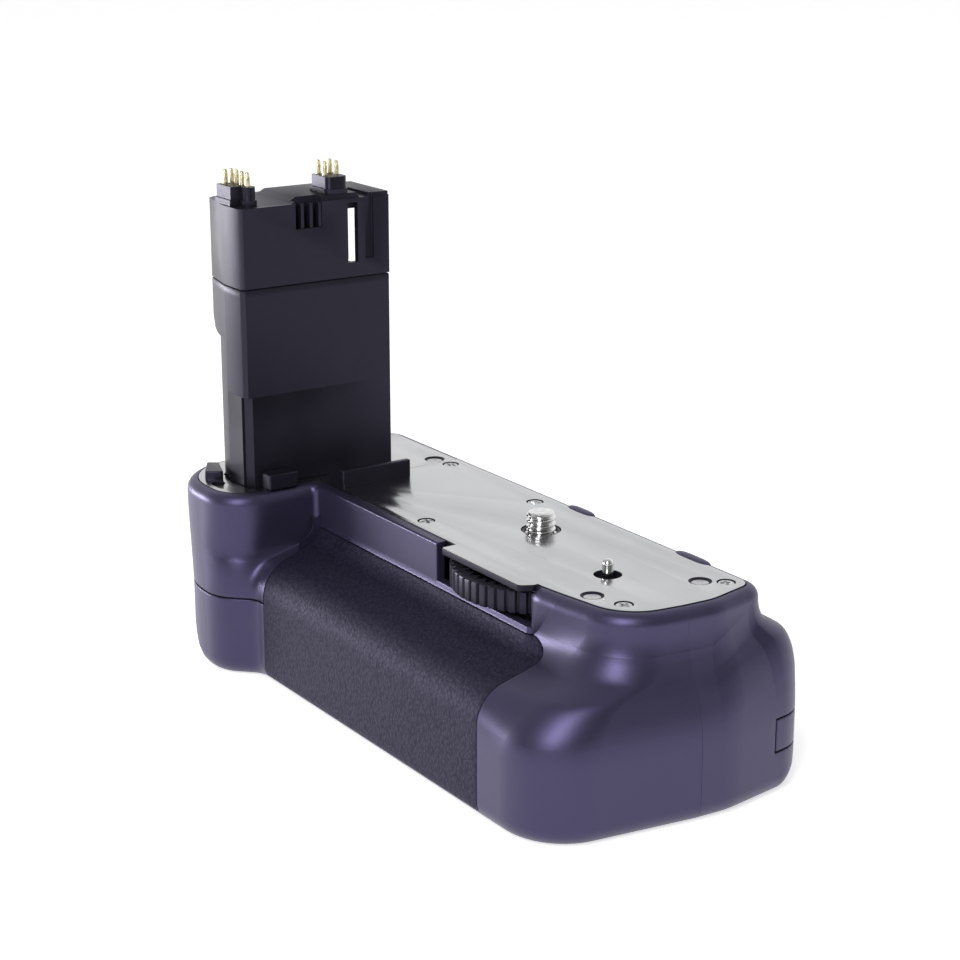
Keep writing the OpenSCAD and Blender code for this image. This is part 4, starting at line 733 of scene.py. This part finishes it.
def stalk_deck():
    """The deck round the stalk: the rim's inside left of the plate's seam, with the stalk's hole and a screw's."""
    left = np.concatenate([INNER_LINE[COL[TURN_L]:], INNER_LINE[:COL[SKIN_L] + 2]])
    left = evened(left[left[:, 0] < SEAM_X - GAP - 0.3])
    ends = np.array([[SEAM_X - GAP, left[-1, 1]], [SEAM_X - GAP, left[0, 1]]])
    edge = np.concatenate([left, ends])
    hole = rounded(stalk_plan(STALK_LOW, 0.3, 0.1, 0.3), 3)
    top = -0.1
    holes = [hole, circle(DECK_DIMPLE, DIMPLE_R), circle((-69.4, -41.8), 1.5)]
    return [sheet([edge, *holes], top - UPPER_T, top, 0.16),
            sheet([edge, hole], top - PLATE_T, top + LAP - UPPER_T, 0.02), dish(DECK_DIMPLE, top)]


BOSS = rounded([[-73, -43.4, 0.6], [-70.6, -39.8, 0.6], [-78.3, -37, 0.6], [-80, -39.3, 0.6]], 4)
# The deck's edges, hole walls and dimple are drawn near-black as painted shade
paint_steep_faces_shaded(dress(piece("stalk_deck_plate", stalk_deck()), "stalk_deck", sharp=25))
dress(piece("stalk_deck_boss", [sheet([BOSS], -0.3, 2.1, 0.3)]), "stalk_deck", STALK)


BASE_SCREWS = np.array([[x, y] for y in (-26, 8) for x in (-50.9, 50.9)])
BUSH_AT, BUSH_R = (0, -4), 6.0


def base_cover():
    """The floor of the housing: its bottom outline drawn in, with holes for the bush and the screws."""
    edge = evened(np.concatenate([SKIN[-1], SKIN[-1][:1]])[:, :2])[:-1]
    edge = drawn_in(edge, np.full(len(edge), RUN))
    heads, shanks = ([circle(p, r) for p in BASE_SCREWS] for r in (2.1, 1.1))
    runners = [sheet([np.array([[x - 2, -31.3], [x + 2, -31.3], [x + 2, 20.7], [x - 2, 20.7]])], -41.7, -39, 0.2)
               for x in (-30, 30)]
    bush = circle(BUSH_AT, BUSH_R + 0.02, 64)
    step = 1.5 - BODY_H
    return [sheet([edge, bush, *heads], -BODY_H, step, 0.2),
            sheet([edge, bush, *shanks], step - LAP, step + 0.5, 0.02), *runners]


dress(piece("base_plate", base_cover()), "base_cover")

# Screws, pins and the wheel drive


def cross_screw(at, top, head_r, head_h, shank_r, length, turn, down=False):
    """A cross-head screw: rings out from the middle of the head, whose height dips where the driver's cross is, then
    the head's edge and the shank. The cross is two bars, deepest in the middle."""
    n = 72
    angle = full_turn(n)
    r = np.concatenate([np.linspace(0.001, 0.8, 16), [0.86, 0.92, 0.96, 0.99, 1.0]]) * head_r
    x, y = r[:, None] * np.cos(angle), r[:, None] * np.sin(angle)
    bar = np.minimum(np.abs(x), np.abs(y)) / (0.17 * head_r)
    reach = r[:, None] / (0.66 * head_r)
    dip = np.clip(1.35 - bar, 0, 0.7) / 0.7 * np.clip(1.25 - reach, 0, 0.35) / 0.35
    round_off = 0.16 * np.clip((r - 0.84 * head_r) / (0.16 * head_r), 0, 1) ** 2
    heights = top - dip * (0.22 + 0.3 * (1 - np.minimum(reach, 1))) * head_h - round_off[:, None]
    low_r, low_h = round_rows([(head_r, top - head_h), (shank_r, top - head_h), (shank_r, top - length),
                               (0.001, top - length)], n)
    radii = np.concatenate([np.repeat(r[:, None], n, 1), low_r])
    heights = np.concatenate([heights, np.repeat(low_h[:, None], n, 1)])
    points, faces = rings(radii, heights, turn=turn)
    if down:
        points[:, 1:] *= -1
    return points + [at[0], at[1], 0], faces


TURNS = np.radians([12, 61, 38, 75, 24])
dress(piece("plate_screw_set", [cross_screw(p, -0.15, 1.78, 1.2, 0.9, 7.2, t) for p, t in zip(PLATE_SCREWS, TURNS)]),
      "plate_screws", PLATE)
dress(piece("base_screw_set", [cross_screw(p, BODY_H - 0.1, 2.0, 1.4, 1.0, 9.0, t, True)
                               for p, t in zip(BASE_SCREWS, TURNS)]), "base_screws", DARK_STEEL)


def thread_wave(phase):
    """One thread form over a turn of phase: flat crest, flank, flat root, flank, from 1 down to 0 and back."""
    p = np.abs((phase % 1.0) - 0.5) * 2
    return np.clip((p - 0.12) / 0.68, 0, 1)


TOOTH, PINION_TEETH, RING_TEETH = 0.8, 12, 44  # the gears' module and numbers of teeth


def gear_edge(n_teeth, low, high, thin, angle):
    """Radius of a gear's outline at each angle: the involute flanks, cut off at the root and tip circles."""
    press = math.radians(25)
    pitch = TOOTH * n_teeth / 2
    base = pitch * math.cos(press)
    r = np.linspace(low, high, 60)
    roll = np.arccos(np.minimum(1, base / np.maximum(r, base)))
    half = math.pi / 2 / n_teeth - thin / pitch + math.tan(press) - press - (np.tan(roll) - roll)
    off = np.abs((angle / (2 * np.pi) * n_teeth + 0.5) % 1.0 - 0.5) * 2 * np.pi / n_teeth
    return np.interp(off, half[::-1], r[::-1])


SCREW_R, SCREW_H, PITCH = 3.175, 4.2, 1.27
WHEEL_DIR = math.radians(-29.4)
MESH_DIR = math.pi + WHEEL_DIR


def attach_screw():
    """The screw with its pinion: gear rings, a plain journal, a relief, then a thread whose radius is a wave of
    height over pitch less the angle over a turn, fading at its start and under the chamfered tip."""
    n = 144
    angle = full_turn(n)
    tooth = gear_edge(PINION_TEETH, 3.85, 5.5, 0.12, angle - MESH_DIR)
    z = np.linspace(0.0, SCREW_H - 0.25, 70)
    wave = thread_wave(z[:, None] / PITCH - angle / (2 * np.pi))
    fade = np.clip(z / 0.5, 0, 1)[:, None] * np.clip((SCREW_H - 0.3 - z) / 0.5, 0, 1)[:, None]
    crest = np.minimum(SCREW_R, SCREW_R - 0.75 + (SCREW_H - z) * 1.1)[:, None]
    thread = crest - 0.62 * (1 - wave) * fade
    lower, lower_h = round_rows([(0.001, -6.1), (0, -6.1), (0, -3.7), (3.5, -3.7), (3.5, -0.62), (3.38, -0.5),
                                 (2.525, -0.5), (2.525, -0.05)], n)
    lower[1:3] = tooth
    tip, tip_h = round_rows(eased([(2.75, SCREW_H - 0.24), (2.3, SCREW_H), (0.001, SCREW_H)], 0.3), n)
    return [rings(np.concatenate([lower, thread, tip]), np.concatenate([lower_h, z, tip_h]))]


dress(piece("camera_screw", attach_screw()), "attach_screw", sharp=50)
dress(piece("screw_collar", [lathe(eased([(3.55, -2.6), (4.28, -2.6), (4.28, -0.2), (3.55, -0.2), (3.55, -2.6)],
                                          0.25), n=72)]), "screw_bush")
PIN_R, PIN_Z = 1.15, 2.25
PIN_TIP = [(PIN_R * math.cos(a), PIN_Z + PIN_R * math.sin(a)) for a in np.linspace(0, 1.57, 10)]
dress(piece("camera_pin", [lathe([(0.001, -2.2), (1.45, -2.2), (1.45, -1.2), (PIN_R, -1.19), (PIN_R, 2.0), *PIN_TIP,
                                  (0.001, PIN_Z + PIN_R)], (*PIN_AT, 0), n=40)]), "locating_pin")

WHEEL_AT = TOOTH * (RING_TEETH - PINION_TEETH) / 2 * np.array([math.cos(WHEEL_DIR), math.sin(WHEEL_DIR)])
WHEEL_RIBS, DIAL_RIBS = 54, 28


def ribs(angle, count, low, high, duty, soft):
    """Radius of a ribbed rim: flat-topped ribs with steep flanks, from low to high."""
    phase = np.abs((angle / (2 * np.pi) * count + 0.5) % 1.0 - 0.5)
    return low + (high - low) * np.clip((duty / 2 + soft / 2 - phase) / soft, 0, 1)


def thumb_wheel():
    """A cup-shaped wheel, ring by ring: bore, underside, ribbed rim with eased edges, inner teeth, web and hub."""
    n = WHEEL_RIBS * 16
    angle = full_turn(n) - MESH_DIR
    rim = ribs(angle, WHEEL_RIBS, 19.75, 20.5, 0.74, 0.1)
    ring = gear_edge(RING_TEETH, 16.9, 18.55, -0.06, angle)
    plain = np.full(n, 1.0)
    rows = [(2.05 * plain, -7.6), (18.9 * plain, -7.6), (rim - 0.4, -7.6), (rim - 0.12, -7.48), (rim, -7.2),
            (rim, -3.2), (rim - 0.12, -2.92), (rim - 0.4, -2.8), (19.2 * plain, -2.8), (ring, -2.8), (ring, -6.4),
            (4 * plain, -6.4), (4 * plain, -3.8), (2.05 * plain, -3.8), (2.05 * plain, -7.6)]
    return [rings(*zip(*rows), (*WHEEL_AT, 0))]


dress(piece("ribbed_thumb_wheel", thumb_wheel()), "thumb_wheel", sharp=40)


def control_dial():
    """The ribbed command dial, ring by ring from its bore."""
    n = DIAL_RIBS * 20
    rim = ribs(full_turn(n), DIAL_RIBS, 7.95, 8.5, 0.6, 0.3)
    plain = np.full(n, 1.0)
    rows = [(1.55 * plain, -3.2), (7.2 * plain, -3.2), (np.minimum(rim, 7.8), -3.1), (rim - 0.05, -2.6), (rim, -2.3),
            (rim, 2.3), (rim - 0.05, 2.6), (np.minimum(rim, 7.8), 3.1), (7.2 * plain, 3.2), (1.55 * plain, 3.2),
            (1.55 * plain, -3.2)]
    return [rings(*zip(*rows), (-79.5, -3.6, -32.65))]


dress(piece("ribbed_control_dial", control_dial()), "control_dial", sharp=40)

# Stalk


def stalk_column():
    """The stalk's lower part: its plan carried up, the left side stepping out on an arc. Below the lip the front right
    corner is cut back to a groove and a wider slope, by moving the same points of the plan."""
    turn = np.linspace(0, np.pi / 2, 9)
    step_z = 37.5 - 4.5 * np.sin(turn)
    step_w = STALK_W - (STALK_W - STALK_LOW) * (1 - np.cos(turn))
    below = [-11.0, 0.0, 12.0, LIP_Z - 0.12, LIP_Z, LIP_Z + 0.12]
    above = [44.0, 45.45, 45.62, 45.7]
    z = np.concatenate([below, step_z[::-1], above])
    width = np.concatenate([[STALK_LOW] * len(below), step_w[::-1], [STALK_W] * len(above)])
    inset = np.array([0.0] * (len(z) - 3) + [0.0, 0.1, 0.3])
    cut = np.where(width > 19, 1.2, 0.3)
    lip = np.array([[-CHAMFER, 0], [-1.1, 0.15], [-0.8, 0.3], [-0.5, 0.45], [0, CHAMFER / 2]])
    slope = np.array([[-2.4, 0.12], [-2.35, 0.9], [-2.05, 0.62], [-1.2, 1.1], [-0.1, 1.75]])
    rows = []
    for w, c, d, h in zip(width, cut, inset, z):
        plan = rounded(stalk_plan(w, -d, c, 0.3)[:5], 3)
        corner = (slope if h < LIP_Z - 0.01 else lip) + [STALK_X - d, STALK_FRONT + d]
        plan = np.concatenate([plan[:-2], corner])
        rows.append(np.concatenate([plan, np.full((len(plan), 1), h)], 1))
    n = len(rows[0])
    points = np.array(rows).reshape(-1, 3)
    caps = [list(range(n))[::-1], list(range(len(points) - n, len(points)))]
    return [(points, [*quads(len(rows), n, True), *caps])]


dress(piece("stalk_lower", stalk_column()), "stalk_column")
for part, width in (("stalk_cap", 0.25), ("door_keeper", 0.3), ("stop_block", 0.3), ("front_contact_block", 0.22),
                    ("rear_contact_block", 0.22), ("comb_contacts", 0.12)):
    softened(part, width)


def rim_pad(x_from, x_to):
    """A low pad on the rear rim: an ellipse across, whose size falls to nothing at both ends as a quartic does."""
    half_y, half_z = 1.4, 0.8
    along = np.linspace(-1, 1, 41)
    size = np.sqrt(1.0001 - along ** 4)[:, None]
    a = full_turn(32)
    across = half_y * half_z / np.hypot(half_z * np.cos(a), half_y * np.sin(a))
    return rings(size * across, (x_to - x_from) / 2 * along, ((x_from + x_to) / 2, 15.1, -0.38), "x")


PADS = [(-10.6, -1.4), (27.3, 38.4)]
dress(piece("rim_pad_strips", [rim_pad(*ends) for ends in PADS]), "rim_pads", HOUSING)


def spring_pin(at, base):
    """A sprung contact: a barrel with a collar and a round plunger, as one profile round its axis."""
    profile = [(0.001, 0), (0.6, 0), (0.6, 2.1), (0.56, 2.2), (0.5, 2.24), (0.5, 2.8),
               *[(0.5 * math.cos(a), 2.8 + 0.5 * math.sin(a)) for a in np.linspace(0.1, 1.5, 6)], (0.001, 3.3)]
    return lathe(profile, (at[0], at[1], base), n=28)


FRONT_PINS = [(-73.5 + 2.55 * i, -33.8) for i in range(4)] + [(-72.9, -35.6)]
REAR_PINS = [(-66.8 + x, -12.4 + y) for x in (-2.2, 0.8) for y in (-1.5, 1.5)]
dress(piece("front_spring_pins", [spring_pin(p, 68.2) for p in FRONT_PINS]), "front_contact_pins")
dress(piece("rear_spring_pins", [spring_pin(p, 69.0) for p in REAR_PINS]), "rear_contact_pins")

# Controls on the left end and the rear

CONTROLS_Z = -(FLAP_Z0 + WINDOW_Z1 - RUN) / 2
SHUTTER = eased([(0.001, 88), (3.2, 87.75), (4.5, 87.85), (5.0, 88.0), (5.2, 87.75), (5.2, 84.2), (6.0, 84.2),
                 (6.0, 83.3), (1.4, 83.3), (1.4, 81.9), (0.001, 81.9)], 0.25)
dress(piece("shutter_key", [lathe(SHUTTER * [1, -1], (0, -18.8, CONTROLS_Z), "x", 72)]), "shutter_button")


def rear_key(x):
    """A rear push button: a shallow dome on a round key with a flange and a plunger."""
    dome = [(3.2 * s, 26.0 - 0.35 * s ** 4) for s in np.linspace(1, 0.0003, 10)]
    profile = [(0.001, 21.2), (1.0, 21.2), (1.0, 22.3), (3.55, 22.3), (3.55, 23.0), (3.2, 23.0), *dome]
    return [lathe(profile, (x, 0, CONTROLS_Z), "y", 56)]


for side, x in (("left", -72.45), ("middle", -65.25), ("right", -58.05)):
    dress(piece("rear_key_" + side, rear_key(x)), "rear_button_" + side)
for part, width in (("control_panel", 0.3), ("power_switch", 0.18), ("rear_control_plate", 0.25),
                    ("magazine_latch", 0.3), ("magazine_tray", 0.2), ("cord_socket", 0.15)):
    softened(part, width)


def tripod_bush():
    """The tripod bush: rings from the outer wall round the mouth into a bore whose radius is a thread wave."""
    n = 96
    z = np.linspace(-BODY_H + 0.3, -39.9, 48)
    bore = 2.55 + 0.55 * thread_wave(z[:, None] / PITCH + full_turn(n) / (2 * np.pi))
    wall, wall_h = round_rows([(0.001, -39.1), (BUSH_R, -39.1), (BUSH_R, -BODY_H + 0.15), (BUSH_R - 0.15, -BODY_H),
                               (3.3, -BODY_H)], n)
    end, end_h = round_rows([(2.55, -39.7), (0.001, -39.7)], n)
    return [rings(np.concatenate([wall, bore, end]), np.concatenate([wall_h, z, end_h]), (*BUSH_AT, 0))]


dress(piece("tripod_socket_bush", tripod_bush()), "tripod_bush", sharp=50)

for name, node in frame["nodes"].items():
    if not node.hide_render:
        node.data.materials.clear()
        node.data.materials.append(FINISH_OF_SLOT[SLOT_OF[name]])

# Camera, floor and light

camera = bpy.data.objects.new("camera", bpy.data.cameras.new("camera"))
camera.data.lens, camera.data.sensor_width = 81.57, 36.0
camera.data.clip_start, camera.data.clip_end = 0.01, 20.0
camera.location = (0.36241, -0.25877, 0.14520)
camera.rotation_euler = (math.radians(73.23), 0.0, math.radians(56.161))
bpy.context.scene.collection.objects.link(camera)
bpy.context.scene.camera = camera


def shows_white(tree):
    """1 for rays that see the backdrop itself: from the camera, a reflection or clear material; 0 for light."""
    path = add(tree, "ShaderNodeLightPath")
    seen = path.outputs["Is Camera Ray"]
    for ray in ("Is Glossy Ray", "Is Transmission Ray"):
        seen = add(tree, "ShaderNodeMath", {0: seen, 1: path.outputs[ray]}, operation="MAXIMUM").outputs[0]
    return seen


world = bpy.data.worlds.new("white_room")
bpy.context.scene.world = world
world.use_nodes = True
room = world.node_tree
room.nodes.clear()
# Reflections see a room that is white behind the part, as seen from the camera, and greyer behind the camera
BRIGHT_SIDE = (-0.72, 0.66, -0.2)
look = add(room, "ShaderNodeTexCoord").outputs["Generated"]
toward = add(room, "ShaderNodeVectorMath", {0: look, 1: BRIGHT_SIDE}, operation="DOT_PRODUCT").outputs["Value"]
wall = add(room, "ShaderNodeMapRange",
           {"Value": toward, "From Min": -0.5, "From Max": 0.55, "To Min": 0.2}).outputs["Result"]
wall = add(room, "ShaderNodeMath", {0: wall, 1: add(room, "ShaderNodeLightPath").outputs["Is Camera Ray"]},
           operation="MAXIMUM").outputs[0]
level = add(room, "ShaderNodeMapRange", {"Value": shows_white(room), "To Min": 0.4, "To Max": wall}).outputs["Result"]
back = add(room, "ShaderNodeBackground", {"Color": (1, 1, 1, 1), "Strength": level})
add(room, "ShaderNodeOutputWorld", {"Surface": back.outputs["Background"]})

paper, paper_tree, paper_shader, _ = new_finish("white_paper", Roughness=0.9, Base_Color=linear("#f2f2f2"),
                                                Emission_Color=(1, 1, 1, 1))
glow = add(paper_tree, "ShaderNodeMath", {0: shows_white(paper_tree), 1: 0.6}, operation="MULTIPLY").outputs[0]
paper_tree.links.new(glow, paper_shader.inputs["Emission Strength"])
FLOOR_HALF, FLOOR_Z = 4000.0, -BODY_H - 0.05
FLOOR_CORNERS = np.array([[x * FLOOR_HALF, y * FLOOR_HALF, FLOOR_Z] for x, y in ((-1, -1), (1, -1), (1, 1), (-1, 1))])
floor = piece("floor", [(FLOOR_CORNERS, [[0, 1, 2, 3]])])
floor.data.materials.append(paper)


def softbox(name, place, size, power):
    """A rectangular lamp that faces the middle of the part."""
    data = bpy.data.lights.new(name, "AREA")
    data.shape, data.size, data.size_y, data.energy = "RECTANGLE", size[0], size[1], power
    lamp = bpy.data.objects.new(name, data)
    lamp.location = place
    away = np.asarray(place) - np.array([-0.01, -0.01, 0.0])
    lamp.rotation_euler = (math.acos(away[2] / np.linalg.norm(away)), 0.0, math.atan2(away[0], -away[1]))
    bpy.context.scene.collection.objects.link(lamp)


softbox("front_softbox", (-0.76, -0.50, 0.02), (0.5, 0.12), 4.5)
softbox("camera_softbox", (0.46, -0.63, 0.62), (0.34, 0.8), 8.0)

bpy.context.scene.view_settings.view_transform = "Standard"
